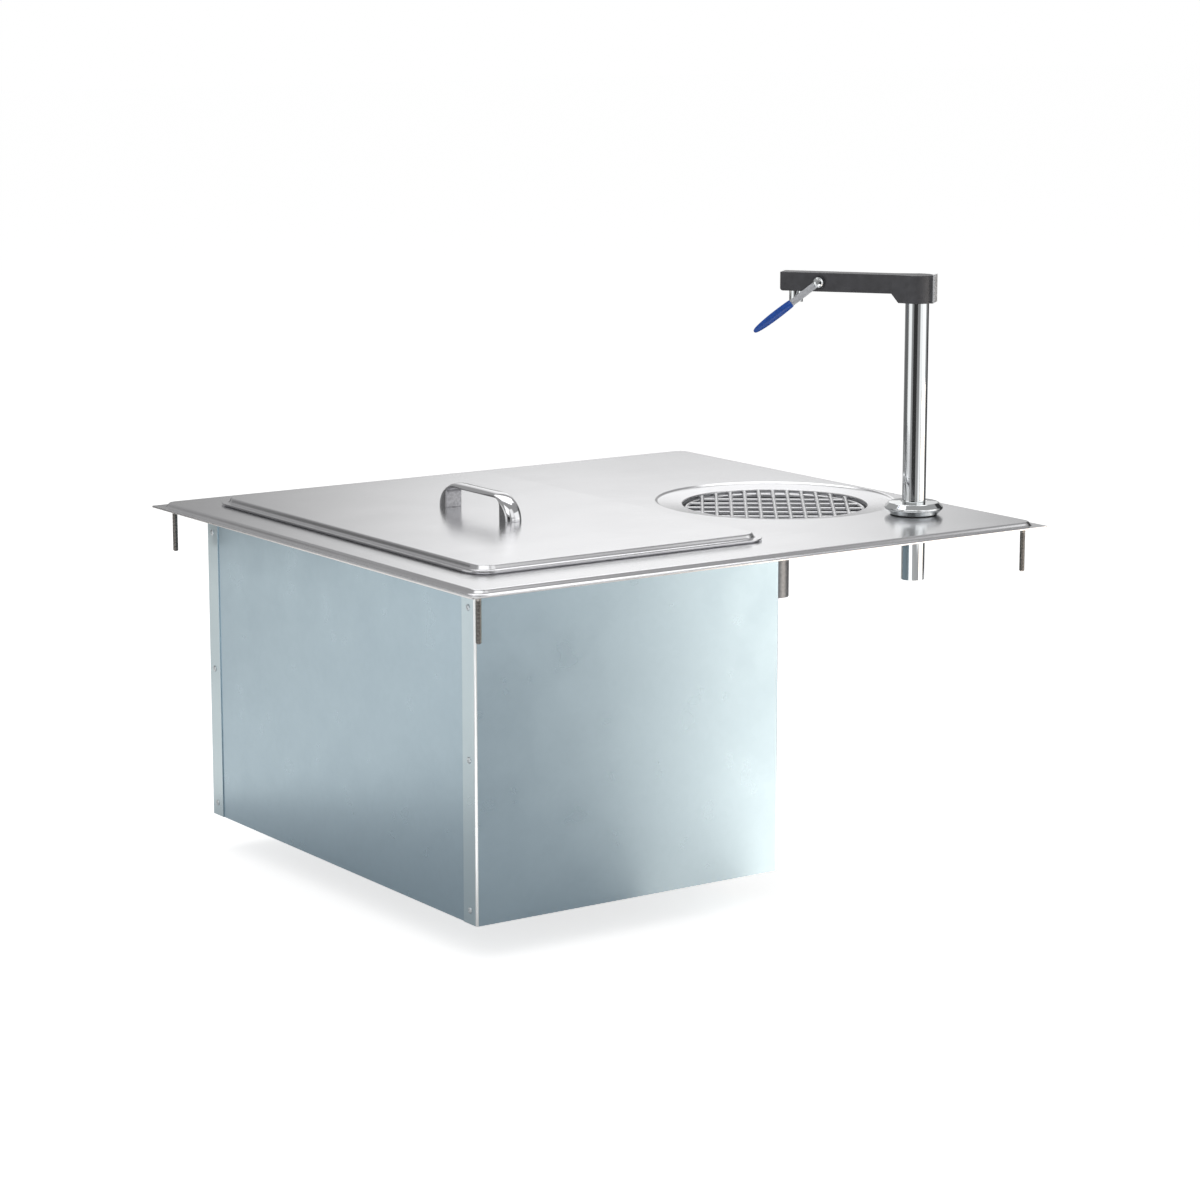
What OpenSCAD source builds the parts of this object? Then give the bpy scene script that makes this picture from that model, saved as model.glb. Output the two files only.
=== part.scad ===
// Drop-in ice bin with a lift-off lid, a drip basin with a lift-out grate, and a push-back glass filler.
// Millimetres, +Z up, +X along the long front edge of the deck, +Y towards its back edge.
// The origin is at the middle of the deck, level with the underside of its rim, where it rests on a counter.

/* [Deck] */
// Length of the deck over its rim
deck_l = 724; // [715:1:800]
// Width of the deck over its rim
deck_w = 660; // [650:1:740]
// Thickness of the deck sheet
deck_t = 1.5; // [1.2:0.1:2]
// Height of the deck's platform above the underside of the rim
deck_rise = 6; // [5:0.5:9]
// Width of the flat land round the rim
rim_land = 7; // [5:0.5:10]
// Width of the slope from the land up to the platform
rim_slope = 5; // [4:0.5:8]
// Corner radius of the rim
rim_corner_r = 3; // [2:0.5:6]
// Corner radius of the platform
deck_corner_r = 12; // [8:1:16]
// Height of the bead that the lid rests on
bead_h = 1.5; // [1:0.1:2.5]
// Width of that bead at its foot
bead_w = 4; // [3:0.5:5]

/* [Bin] */
// Length of the bin's mouth
mouth_l = 320; // [300:1:330]
// Width of the bin's mouth
mouth_w = 500; // [470:1:510]
// Corner radius of the mouth
mouth_r = 22; // [20:1:30]
// Distance from the deck's left edge to the mouth
mouth_from_left = 71; // [68:1:80]
// Distance from the deck's front edge to the mouth
mouth_from_front = 92; // [88:1:100]
// Depth of the deck's turned-down flange below the platform
mouth_flange = 14; // [10:1:20]
// Depth of the bin from the platform to its floor
bin_depth = 316; // [250:1:340]
// Thickness of the liner sheet
liner_t = 1.2; // [1:0.1:1.6]
// Radius of the cove round the liner's floor
cove_r = 18; // [12:1:20]
// Thickness of the insulation round the liner
foam_t = 21; // [18:1:25]
// Thickness of the insulation below the liner
foam_floor_t = 32; // [25:1:40]

/* [Casing] */
// Thickness of the casing sheet
panel_t = 1; // [0.8:0.1:1.2]
// Width of the folded strips that lap the side panels
strip_w = 24; // [20:1:30]
// Outer radius of the casing's folds
fold_r = 2.5; // [2:0.1:4]
// Width of the flanges at the top of the panels
top_flange_w = 12; // [8:1:14]
// Height of the floor tray's turned-up flange
tray_flange_h = 15; // [10:1:20]
// Depth of the relief slot at the front left corner, below the platform
slot_depth = 65; // [50:1:80]
// Width of that slot
slot_w = 5.5; // [4:0.5:8]
// Rivets in each strip
rivet_count = 3; // [3:1:5]
// Distance of the first rivet below the platform
rivet_from_top = 31; // [25:1:40]
// Distance of the last rivet above the casing's floor
rivet_from_bottom = 14; // [12:1:20]
// Radius of a rivet's shank
rivet_r = 1.6; // [1.5:0.1:2]
// Radius of a rivet's head
rivet_head_r = 3.3; // [3:0.1:4]

/* [Lid] */
// Distance that the lid laps the deck outside the mouth
lid_lap = 20; // [19:0.5:22]
// Thickness of the lid sheet
lid_t = 1.2; // [1:0.1:1.6]
// Width of the flat flange round the lid
lid_flange_w = 7; // [6:0.5:8]
// Width of the slope up to the lid's platform
lid_slope = 4; // [3:0.5:5]
// Height of the lid's platform above its flange
lid_rise = 4.9; // [4:0.1:7]
// Corner radius of the lid's platform
lid_corner_r = 16; // [14:1:20]
// Gap between the mouth and the frame under the lid
lid_frame_gap = 2; // [1.5:0.1:3]
// Depth of the frame under the lid's platform
lid_frame_h = 16; // [12:1:22]
// Width of the frame's flange
lid_frame_flange = 12; // [8:1:16]

/* [Lid handle] */
// Length of the handle over its feet
handle_l = 126; // [110:1:140]
// Length of the handle's flat top
handle_top_l = 78; // [74:1:84]
// Width of the handle's strap
handle_w = 20; // [16:1:24]
// Height of the handle above the lid
handle_h = 28; // [24:1:36]
// Thickness of the handle's strap
handle_t = 5; // [4:0.5:6]
// Thickness of the handle's legs at the lid
handle_leg_t = 11; // [9:0.5:12]
// Radius of the upper corners of the space under the handle
handle_gap_r = 8; // [6:0.5:10]
// Radius of the handle's softened edges
handle_soft_r = 6; // [4:0.5:8]
// Radius of the studs that hold the handle
handle_stud_r = 2.5; // [2:0.1:3]

/* [Drip basin] */
// Distance from the deck's right edge to the basin's axis
basin_from_right = 149.5; // [148:0.5:152]
// Distance from the deck's front edge to the basin's axis
basin_from_front = 282.5; // [278:0.5:290]
// Radius of the pressed dish round the basin
dish_r = 133; // [130:1:136]
// Depth of the dish at the basin's mouth
dish_depth = 4; // [3:0.5:5]
// Radius of the basin's mouth
basin_r = 102; // [100:1:106]
// Depth of the basin's wall below the dish
basin_depth = 36; // [30:1:40]
// Fall of the basin's floor to its drain
basin_fall = 5; // [3:1:8]
// Thickness of the basin sheet
basin_t = 1.2; // [1:0.1:1.6]
// Width of the ledge that carries the grate
ledge_w = 6; // [5:0.5:8]
// Depth of that ledge below the dish
ledge_depth = 9; // [8:0.5:12]

/* [Drain grate] */
// Radius of the wire in the grate's ring
ring_wire_r = 2.5; // [2:0.1:3]
// Radius of the grate's upper bars
bar_r = 2; // [1.5:0.1:2.3]
// Radius of the grate's lower cross wires
cross_r = 1.5; // [1.2:0.1:2]
// Upper bars in the grate
bar_count = 11; // [9:2:13]
// Spacing of the upper bars
bar_pitch = 16; // [13:0.5:16]
// Cross wires in the grate
cross_count = 5; // [3:2:7]
// Spacing of the cross wires
cross_pitch = 29; // [20:1:31]
// Clearance between the grate and the basin's wall
grate_gap = 1.5; // [1:0.1:2.5]
// Turn of the grate's bars from the deck's width
grate_turn = -36; // [-90:1:90]

/* [Drains] */
// Outer radius of both drain nipples
nipple_r = 16.7; // [15:0.1:18]
// Wall of the nipples
nipple_wall = 3.4; // [2.5:0.1:4]
// Length of the basin's nipple below the platform
basin_nipple_drop = 108; // [90:1:125]
// Length of the bin's nipple below the casing
bin_nipple_drop = 38; // [30:1:60]
// Radius of the drain flanges
drain_flange_r = 30; // [27:0.5:33]
// Thickness of the drain flanges
drain_flange_t = 2; // [1.5:0.1:3]
// Height of the drain locknuts
drain_nut_h = 9; // [7:0.5:12]
// Half the width across the flats of the drain locknuts
drain_nut_half = 23; // [22:0.5:25]
// Thickness of the drain washers
drain_washer_t = 2; // [1:0.1:3]
// Holes in the outer ring of the strainers
strainer_holes = 12; // [8:2:14]

/* [Hold-down studs] */
// Radius of the studs that hold the deck down
stud_r = 3; // [2.5:0.1:4]
// Length of the studs below the underside of the rim
stud_drop = 48; // [35:1:60]
// Distance from the platform's edges to the studs
stud_inset = 7; // [7:0.5:12]
// Radius of the welded collar at each stud's top
stud_collar_r = 3.8; // [3.6:0.1:4.5]

/* [Filler post] */
// Distance from the deck's right edge to the post's axis
post_from_right = 84.5; // [80:0.5:90]
// Distance from the deck's front edge to the post's axis
post_from_front = 121.5; // [110:0.5:130]
// Outer radius of the post
post_r = 12.7; // [12:0.1:13]
// Wall of the post
post_wall = 2; // [1.5:0.1:2.5]
// Height of the arm's foot above the platform
post_h = 228; // [180:1:260]
// Length of the post below the platform
post_drop = 71; // [55:1:90]
// Radius of the deck plate round the post
plate_r = 31.5; // [28:0.5:36]
// Height of that plate
plate_h = 12.5; // [10:0.5:16]
// Height of the locknut under the deck
post_nut_h = 10; // [8:0.5:14]
// Radius of the water inlet's thread bore
inlet_r = 7.5; // [6:0.1:9]
// Length of the water inlet's thread bore
inlet_l = 16; // [12:1:20]

/* [Filler arm] */
// Turn of the arm from the deck's width towards the bin
arm_turn = 38; // [20:1:50]
// Reach of the arm from the post's axis to its end
arm_reach = 148; // [140:1:160]
// Width of the arm
arm_w = 22; // [20:0.5:26]
// Height of the arm
arm_h = 20; // [20:0.5:24]
// Radius of the arm's hub round the post
hub_r = 16.5; // [15.5:0.1:18]
// Drop of the hub below the arm's underside
hub_drop = 9.5; // [8:0.5:14]
// Length of the hub's deeper part along the arm
hub_reach = 18; // [17:0.5:22]
// Depth of the socket that takes the post
socket_h = 11; // [8:0.5:11]
// Width of the plate on the hub's rear
end_plate_w = 14; // [10:0.5:16]
// Distance from the post's axis to the rear plate's face
end_plate_reach = 20; // [19:0.5:22]
// Thickness of the metal plate on the arm's rear
end_plate_t = 2; // [1:0.5:2.5]
// Distance from the post's axis to the nozzle
nozzle_reach = 133; // [131:0.5:136]
// Outer radius of the nozzle
nozzle_r = 7.4; // [6.5:0.1:8]
// Radius of the nozzle's bore
nozzle_bore_r = 4.2; // [3.5:0.1:5]
// Drop of the nozzle below the arm
nozzle_drop = 12.5; // [9:0.5:14]

/* [Filler lever] */
// Distance from the post's axis to the lever's pivot
pivot_reach = 105; // [102:0.5:108]
// Slope of the lever below the level at rest, in degrees
lever_slope = 38; // [36:0.5:42]
// Swing of the lever when a glass pushes it back, in degrees
lever_swing = 22; // [15:1:24]
// Length of the lever from its pivot to its tip
lever_l = 89.5; // [80:0.5:100]
// Distance from the pivot to the start of the grip
grip_start = 37; // [35:0.5:42]
// Width of the lever's strap
strap_w = 7; // [6:0.5:8]
// Thickness of the lever's strap
strap_t = 2.5; // [2:0.1:3]
// Radius of the shaft that carries the lever
shaft_r = 4; // [3.5:0.1:4.5]
// Running clearance of the shaft and the valve stem
running_gap = 0.05; // [0.03:0.01:0.08]

/* [Valve] */
// Radius of the crank on the lever's shaft
crank_r = 5; // [4.8:0.1:5.2]
// Radius of the water passage in the arm
passage_r = 3.8; // [3.6:0.1:4]
// Radius of the throat that the valve closes
throat_r = 2.9; // [2.7:0.1:3.1]
// Radius of the valve's stem
stem_r = 1.8; // [1.5:0.1:1.9]
// Turns of the valve's spring
spring_turns = 5; // [4:1:7]

/* [Hidden] */

// Fineness of round surfaces, and of the few soft forms that are meshes
$fn = 96;
soft_fn = 32;
// Gap left where two pieces only meet, and overlap that makes a cut clean
meet_gap = 0.2;
cut = 1;
bend_lap = 0.5;

steel = [0.78, 0.79, 0.80];
galvanised = [0.66, 0.72, 0.75];
chrome = [0.85, 0.86, 0.88];
black = [0.10, 0.10, 0.11];
blue = [0.06, 0.20, 0.62];
foam_cream = [0.90, 0.84, 0.68];
rubber = [0.14, 0.14, 0.14];
brass = [0.76, 0.62, 0.34];

// Deck
land_inner_l = deck_l - 2 * rim_land;
land_inner_w = deck_w - 2 * rim_land;
platform_l = land_inner_l - 2 * rim_slope;
platform_w = land_inner_w - 2 * rim_slope;
platform_under = deck_rise - deck_t;
bin_x = -deck_l / 2 + mouth_from_left + mouth_l / 2;
bin_y = -deck_w / 2 + mouth_from_front + mouth_w / 2;
basin_x = deck_l / 2 - basin_from_right;
basin_y = -deck_w / 2 + basin_from_front;
post_x = deck_l / 2 - post_from_right;
post_y = -deck_w / 2 + post_from_front;
post_hole_r = post_r + 0.3;

// Bin, from the liner outwards
liner_l = mouth_l + 2 * deck_t;
liner_w = mouth_w + 2 * deck_t;
liner_r = mouth_r + deck_t;
liner_floor = deck_rise - bin_depth;
liner_under = liner_floor - liner_t;
liner_out_l = liner_l + 2 * liner_t;
liner_out_w = liner_w + 2 * liner_t;
foam_l = liner_out_l + 2 * foam_t;
foam_w = liner_out_w + 2 * foam_t;
case_floor = liner_under - foam_floor_t - panel_t;
case_l = foam_l + 4 * panel_t;
case_w = foam_w + 2 * panel_t;
foam_top = platform_under - panel_t - 0.5;
side_w = foam_w - 2 * fold_r;

// Rivets
rivet_high = deck_rise - rivet_from_top;
rivet_low = case_floor + rivet_from_bottom;
rivet_y = case_w / 2 - strip_w / 2;
rivet_head_h = 1.2;

// Lid, from the deck upwards
lid_l = mouth_l + 2 * lid_lap;
lid_w = mouth_w + 2 * lid_lap;
lid_seat = deck_rise + bead_h;
lid_top = lid_seat + lid_t + lid_rise;
lid_under = lid_top - lid_t;
lid_platform_l = lid_l - 2 * (lid_flange_w + lid_slope);
lid_platform_w = lid_w - 2 * (lid_flange_w + lid_slope);
lid_outer_r = lid_corner_r + lid_slope + lid_flange_w;
bead_out = lid_lap - lid_flange_w / 2 - 0.5;
bead_r = lid_outer_r - lid_lap + bead_out;
frame_l = mouth_l - 2 * lid_frame_gap;
frame_w = mouth_w - 2 * lid_frame_gap;
frame_r = mouth_r - lid_frame_gap;

// Handle: each end is an arc from an upright foot to the flat top
handle_run = (handle_l - handle_top_l) / 2;
handle_arc_y = handle_l / 2 - handle_run;
handle_foot_y = handle_l / 2 - handle_leg_t / 2;
handle_nut_h = 4;

// Basin and grate
dish_lip = deck_rise - dish_depth;
dish_slope = 4;
ledge_top = dish_lip - ledge_depth;
basin_floor = dish_lip - basin_depth;
sump_floor = basin_floor - basin_fall;
sump_r = drain_flange_r + 1;
grate_r = basin_r - grate_gap;
ring_r = grate_r - ring_wire_r;
ring_z = ledge_top + ring_wire_r + meet_gap;
bar_z = ring_z + ring_wire_r + bar_r - 0.8;
cross_z = bar_z - bar_r - cross_r + 0.6;

// Nipples
nipple_bore_r = nipple_r - nipple_wall;
nipple_hole_r = nipple_r + 0.2;
nipple_end_r = nipple_r - 0.2;
strainer_t = drain_flange_t / 2;
bin_nipple_end = case_floor - bin_nipple_drop;
basin_nipple_end = deck_rise - basin_nipple_drop;

// Filler, in the arm's own frame: +X along the arm, +Y to its lever side
arm_under = deck_rise + post_h + hub_drop;
arm_top = arm_under + arm_h;
hub_under = arm_under - hub_drop;
pivot_z = arm_under + arm_h / 2;
passage_z = pivot_z - crank_r;
post_top = hub_under + socket_h;
post_end = deck_rise - post_drop;
post_bore_r = post_r - post_wall;
arm_taper = hub_reach + 8;
chamber_r = 8.5;
chamber_half = 4.5;
nose_r = 1.5;
seat_s = pivot_reach - 23;
stem_travel = 2 * crank_r * sin(lever_swing / 2);
stem_gap = 0.25;
stem_end = pivot_reach + stem_travel / 2 - nose_r - stem_gap;
valve_washer_t = 1.6;
valve_disc_t = 2;
valve_back = seat_s - meet_gap - valve_washer_t - valve_disc_t;
spring_l = 14;
spring_wire_r = 0.5;
shoulder_s = valve_back - spring_l - stem_travel - meet_gap;
bushing_t = 1.5;
strap_y = arm_w / 2 + bushing_t + 0.1;
neck_r = shaft_r - 1;
shaft_far = arm_w / 2 - 1.5;
strap_end = lever_l - 14;

echo(stem_travel_mm = stem_travel, mm_per_degree = stem_travel / lever_swing);

// Points of an arc about (x, y), from angle a0 to a1
function arc(x, y, r, a0, a1) = [for (k = [0 : 8]) let (a = a0 + (a1 - a0) * k / 8) [x + r * cos(a), y + r * sin(a)]];

// Section of sheet t thick that drops by fall over run in a soft double bend, with its upper end at (x, y)
function bend_top(x, y, run, fall, u) = [x + run * u, y - fall * (1 - cos(180 * u)) / 2];
function bend_slope(run, fall, u) = atan(fall / run * PI / 2 * sin(180 * u));
function bend_under(x, y, run, fall, t, u) =
    bend_top(x, y, run, fall, u) - t * [sin(bend_slope(run, fall, u)), cos(bend_slope(run, fall, u))];
module bent_sheet(x, y, run, fall, t) {
    polygon(concat([[x - bend_lap, y]], [for (k = [0 : 10]) bend_top(x, y, run, fall, k / 10)],
        [[x + run + bend_lap, y - fall], [x + run + bend_lap, y - fall - t]],
        [for (k = [10 : -1 : 0]) bend_under(x, y, run, fall, t, k / 10)], [[x - bend_lap, y - t]]));
}

// Flat outline with rounded corners
module round_rect(l, w, r) {
    square([l - 2 * r, w], center = true);
    square([l, w - 2 * r], center = true);
    for (x = [-1, 1], y = [-1, 1])
        translate([x * (l / 2 - r), y * (w / 2 - r)]) circle(r);
}

// Sweeps a profile round a rounded rectangle: the profile's x is 0 on the outline and positive outside it
module sweep_round_rect(l, w, r) {
    for (s = [-1, 1]) {
        rotate([0, 0, s > 0 ? 0 : 180]) translate([l / 2, 0, 0]) rotate([90, 0, 0])
            linear_extrude(w - 2 * r, center = true) children();
        rotate([0, 0, s > 0 ? 90 : 270]) translate([w / 2, 0, 0]) rotate([90, 0, 0])
            linear_extrude(l - 2 * r, center = true) children();
    }
    for (k = [0 : 3])
        translate([(k == 0 || k == 3 ? 1 : -1) * (l / 2 - r), (k < 2 ? 1 : -1) * (w / 2 - r), 0])
            rotate([0, 0, 90 * k]) rotate_extrude(angle = 90) translate([r, 0]) children();
}

// Upright tube
module tube(r_out, r_in, z0, z1) {
    translate([0, 0, z0]) difference() {
        cylinder(r = r_out, h = z1 - z0);
        translate([0, 0, -cut]) cylinder(r = r_in, h = z1 - z0 + 2 * cut);
    }
}

// Hexagonal nut with a round bore, standing on z0
module hex_nut(half_flats, bore_r, z0, h) {
    translate([0, 0, z0]) difference() {
        cylinder(r = half_flats / cos(30), h = h, $fn = 6);
        translate([0, 0, -cut]) cylinder(r = bore_r, h = h + 2 * cut);
    }
}

module at_bin() { translate([bin_x, bin_y, 0]) children(); }
module at_basin() { translate([basin_x, basin_y, 0]) children(); }
module at_post() { translate([post_x, post_y, 0]) children(); }
module in_arm() { at_post() rotate([0, 0, 90 + arm_turn]) children(); }

// Cylinder along the arm, from s0 to s1
module along_arm(r, s0, s1, z) {
    translate([s0, 0, z]) rotate([0, 90, 0]) cylinder(r = r, h = s1 - s0);
}

// Cylinder across the arm, from y0 to y1, on the lever's axis
module across_arm(r, y0, y1) {
    translate([pivot_reach, y0, pivot_z]) rotate([-90, 0, 0]) cylinder(r = r, h = y1 - y0);
}

module deck() {
    color(steel) difference() {
        union() {
            // Flat land that rests on the counter
            linear_extrude(deck_t) difference() {
                round_rect(deck_l, deck_w, rim_corner_r);
                round_rect(land_inner_l, land_inner_w, deck_corner_r + rim_slope);
            }
            // Slope up to the platform
            sweep_round_rect(platform_l, platform_w, deck_corner_r)
                bent_sheet(0, deck_rise, rim_slope, deck_rise - deck_t, deck_t);
            // Platform with the cut-outs for the bin and the dish
            translate([0, 0, platform_under]) linear_extrude(deck_t) difference() {
                round_rect(platform_l, platform_w, deck_corner_r);
                translate([bin_x, bin_y]) round_rect(mouth_l, mouth_w, mouth_r);
                translate([basin_x, basin_y]) circle(dish_r);
            }
            // Flange turned down into the bin, with an eased upper edge
            at_bin() sweep_round_rect(mouth_l, mouth_w, mouth_r) mouth_edge();
            // Bead that holds the lid just clear of the deck
            at_bin() sweep_round_rect(mouth_l + 2 * bead_out, mouth_w + 2 * bead_out, bead_r)
                polygon(concat([for (k = [8 : -1 : 0]) bead_point(-1, k / 8)], [for (k = [0 : 8]) bead_point(1, k / 8)]));
            // Dish pressed down round the basin
            at_basin() rotate_extrude() dish_section();
        }
        at_post() translate([0, 0, -cut]) cylinder(r = post_hole_r, h = deck_rise + 2 * cut);
    }
}

// Section of the mouth's flange: down on the mouth's line, with its thickness outwards and its top eased
module mouth_edge() {
    polygon(concat([[0, deck_rise - mouth_flange], [deck_t, deck_rise - mouth_flange], [deck_t, platform_under],
        [deck_t + 1, platform_under], [deck_t + 1, deck_rise]], arc(deck_t, platform_under, deck_t, 90, 180)));
}

// Point on a side of the lid's bead: a soft flank from its flat top down to the deck
function bead_point(side, u) = [side * (bead_w / 4 * (1 + u)), lid_seat - bead_h * (1 - cos(180 * u)) / 2];

// Section of the dish, out from the basin's axis: an eased lip, a cone and a soft step up to the deck
module dish_section() {
    foot_r = dish_r - dish_slope;
    foot_z = deck_rise - dish_depth / 2;
    fall = deck_rise - foot_z;
    polygon(concat(arc(basin_r + deck_t, dish_lip - deck_t, deck_t, 180, 90),
        [for (k = [10 : -1 : 0]) bend_top(-dish_r, deck_rise, dish_slope, fall, k / 10)] * [[-1, 0], [0, 1]],
        [[dish_r + bend_lap, deck_rise], [dish_r + bend_lap, platform_under]],
        [for (k = [0 : 10]) bend_under(-dish_r, deck_rise, dish_slope, fall, deck_t, k / 10)] * [[-1, 0], [0, 1]],
        [[basin_r + deck_t, dish_lip - deck_t]]));
}

module bin_liner() {
    color(steel) at_bin() difference() {
        union() {
            sweep_round_rect(liner_l, liner_w, liner_r) polygon(concat(
                [[0, platform_under]], arc(-cove_r, liner_floor + cove_r, cove_r, 0, -90), [[-cove_r - 1, liner_floor],
                [-cove_r - 1, liner_under]], arc(-cove_r, liner_floor + cove_r, cove_r + liner_t, -90, 0),
                [[liner_t, platform_under]]));
            translate([0, 0, liner_under]) linear_extrude(liner_t) liner_flat();
        }
        translate([0, 0, liner_under - cut]) cylinder(r = nipple_hole_r, h = liner_t + 2 * cut);
    }
}

// Flat middle of the liner's floor
module liner_flat() {
    round_rect(liner_l - 2 * cove_r, liner_w - 2 * cove_r, liner_r - cove_r);
}

module insulation() {
    color(foam_cream) at_bin() difference() {
        union() {
            foam_block(foam_l, foam_w, case_floor + panel_t + tray_flange_h, foam_top);
            foam_block(foam_l - 2 * (panel_t + 2 * meet_gap), foam_w - 2 * (panel_t + 2 * meet_gap),
                case_floor + panel_t, case_floor + panel_t + tray_flange_h + cut);
        }
        // Pocket that the liner fills
        translate([0, 0, liner_floor + cove_r]) linear_extrude(bin_depth)
            round_rect(liner_out_l, liner_out_w, liner_r + liner_t);
        sweep_round_rect(liner_l, liner_w, liner_r) polygon(concat([[-cove_r - 1, liner_floor + cove_r + cut],
            [-cove_r - 1, liner_under]], arc(-cove_r, liner_floor + cove_r, cove_r + liner_t, -90, 0),
            [[liner_t, liner_floor + cove_r + cut]]));
        translate([0, 0, liner_under]) linear_extrude(bin_depth) liner_flat();
        translate([0, 0, case_floor]) cylinder(r = nipple_r + 1, h = foam_floor_t + 2 * panel_t);
    }
}

module foam_block(l, w, z0, z1) {
    translate([0, 0, z0]) linear_extrude(z1 - z0) round_rect(l, w, fold_r);
}

// Front or back panel: a face whose two ends fold round and lap the side panels
module wrap_panel() {
    difference() {
        union() {
            translate([0, 0, case_floor]) linear_extrude(platform_under - case_floor) intersection() {
                difference() {
                    round_rect(case_l, case_w, fold_r);
                    round_rect(case_l - 2 * panel_t, case_w - 2 * panel_t, fold_r - panel_t);
                }
                translate([-case_l / 2, -case_w / 2]) square([case_l, strip_w]);
            }
            translate([-foam_l / 2 + top_flange_w + 2, -foam_w / 2 - panel_t / 2, platform_under - panel_t])
                cube([foam_l - 2 * top_flange_w - 4, top_flange_w + panel_t / 2, panel_t]);
        }
        for (x = [-1, 1], k = [0 : rivet_count - 1])
            translate([x * case_l / 2, -rivet_y, rivet_z(k)]) rotate([0, 90, 0])
                cylinder(r = rivet_r + 0.05, h = 4 * panel_t, center = true);
    }
}

function rivet_z(k) = rivet_high + (rivet_low - rivet_high) * k / (rivet_count - 1);

module casing_front() {
    color(galvanised) at_bin() difference() {
        wrap_panel();
        // Relief slot beside the corner's fold
        translate([-case_l / 2 + fold_r, -case_w / 2 - cut, deck_rise - slot_depth])
            cube([slot_w, panel_t + 2 * cut, slot_depth]);
    }
}

module casing_back() {
    color(galvanised) at_bin() rotate([0, 0, 180]) wrap_panel();
}

// Side panel on the -X side, flat under the strips of the front and back panels
module side_panel() {
    difference() {
        union() {
            translate([-foam_l / 2 - panel_t, -side_w / 2, case_floor])
                cube([panel_t, side_w, platform_under - case_floor]);
            translate([-foam_l / 2 - panel_t / 2, -foam_w / 2 + top_flange_w + 2, platform_under - panel_t])
                cube([top_flange_w + panel_t / 2, foam_w - 2 * top_flange_w - 4, panel_t]);
        }
        for (y = [-1, 1], k = [0 : rivet_count - 1])
            translate([-foam_l / 2, y * rivet_y, rivet_z(k)]) rotate([0, 90, 0])
                cylinder(r = rivet_r + 0.05, h = 4 * panel_t, center = true);
    }
}

module casing_left() {
    color(galvanised) at_bin() side_panel();
}

module casing_right() {
    color(galvanised) at_bin() rotate([0, 0, 180]) side_panel();
}

// Floor tray, with its flange turned up inside the walls
module casing_floor() {
    tray_l = foam_l - 2 * meet_gap;
    tray_w = foam_w - 2 * meet_gap;
    color(galvanised) at_bin() difference() {
        translate([-tray_l / 2, -tray_w / 2, case_floor]) cube([tray_l, tray_w, panel_t + tray_flange_h]);
        translate([-tray_l / 2 + panel_t, -tray_w / 2 + panel_t, case_floor + panel_t])
            cube([tray_l - 2 * panel_t, tray_w - 2 * panel_t, tray_flange_h + cut]);
        translate([0, 0, case_floor - cut]) cylinder(r = nipple_hole_r, h = panel_t + 2 * cut);
    }
}

// One rivet: a domed head on the strip and a shank through both sheets
module rivet() {
    rotate([0, 90, 0]) {
        translate([0, 0, -2 * panel_t]) cylinder(r = rivet_r, h = 2 * panel_t + 0.1, $fn = 24);
        rotate_extrude($fn = 24) intersection() {
            translate([0, rivet_head_h - rivet_head_r * 1.6]) circle(rivet_head_r * 1.6, $fn = 48);
            square([rivet_head_r, rivet_head_h]);
        }
    }
}

module casing_rivets() {
    color(steel) at_bin() for (x = [0, 180], y = [-1, 1], k = [0 : rivet_count - 1])
        rotate([0, 0, x]) translate([case_l / 2, y * rivet_y, rivet_z(k)]) rivet();
}

// Drain nipple: a flange on the sheet above it, a threaded part for its locknut and a plain end
module drain_nipple(seat_z, nut_z, end_z) {
    rim_z = seat_z + drain_flange_t;
    rotate_extrude() polygon([[nipple_bore_r, end_z], [nipple_end_r, end_z], [nipple_end_r, nut_z],
        [nipple_r, nut_z], [nipple_r, seat_z], [drain_flange_r, seat_z], [drain_flange_r, rim_z - 0.8],
        [drain_flange_r - 1, rim_z], [nipple_r, rim_z], [nipple_r, rim_z - strainer_t],
        [nipple_bore_r, rim_z - strainer_t]]);
}

module bin_drain_nipple() {
    color(brass) at_bin() drain_nipple(liner_floor, case_floor - drain_washer_t - drain_nut_h - 1, bin_nipple_end);
}

// Perforated disc that drops into a drain flange's recess
module strainer(seat_z) {
    strainer_r = nipple_r - meet_gap;
    translate([0, 0, seat_z + drain_flange_t - strainer_t]) difference() {
        cylinder(r = strainer_r, h = strainer_t);
        for (ring = [[strainer_holes, 0.62], [strainer_holes / 2, 0.3]], a = [0 : ring[0] - 1])
            rotate([0, 0, 360 * a / ring[0]]) translate([strainer_r * ring[1], 0, -cut])
                cylinder(r = 1.8, h = strainer_t + 2 * cut, $fn = 24);
    }
}

module bin_drain_strainer() {
    color(steel) at_bin() strainer(liner_floor);
}

module bin_drain_washer() {
    color(rubber) at_bin()
        tube(drain_nut_half, nipple_hole_r, case_floor - drain_washer_t, case_floor);
}

module bin_drain_locknut() {
    color(brass) at_bin()
        hex_nut(drain_nut_half, nipple_r + running_gap, case_floor - drain_washer_t - drain_nut_h, drain_nut_h);
}

// Round basin with a ledge for the grate, a coved floor and a flat sump
module drip_basin() {
    wall_r = basin_r - ledge_w;
    fillet_r = 1;
    color(steel) at_basin() rotate_extrude() polygon(concat(
        [[basin_r, dish_lip - deck_t], [basin_r, ledge_top], [wall_r, ledge_top]],
        arc(wall_r - fillet_r, basin_floor + fillet_r, fillet_r, 0, -90),
        [[sump_r + basin_t, sump_floor + 1], [sump_r, sump_floor], [nipple_hole_r, sump_floor],
        [nipple_hole_r, sump_floor - basin_t], [sump_r + basin_t, sump_floor - basin_t]],
        arc(wall_r - fillet_r, basin_floor + fillet_r, fillet_r + basin_t, -90, 0),
        [[wall_r + basin_t, ledge_top - basin_t], [basin_r + basin_t, ledge_top - basin_t],
        [basin_r + basin_t, dish_lip - deck_t]]));
}

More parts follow.
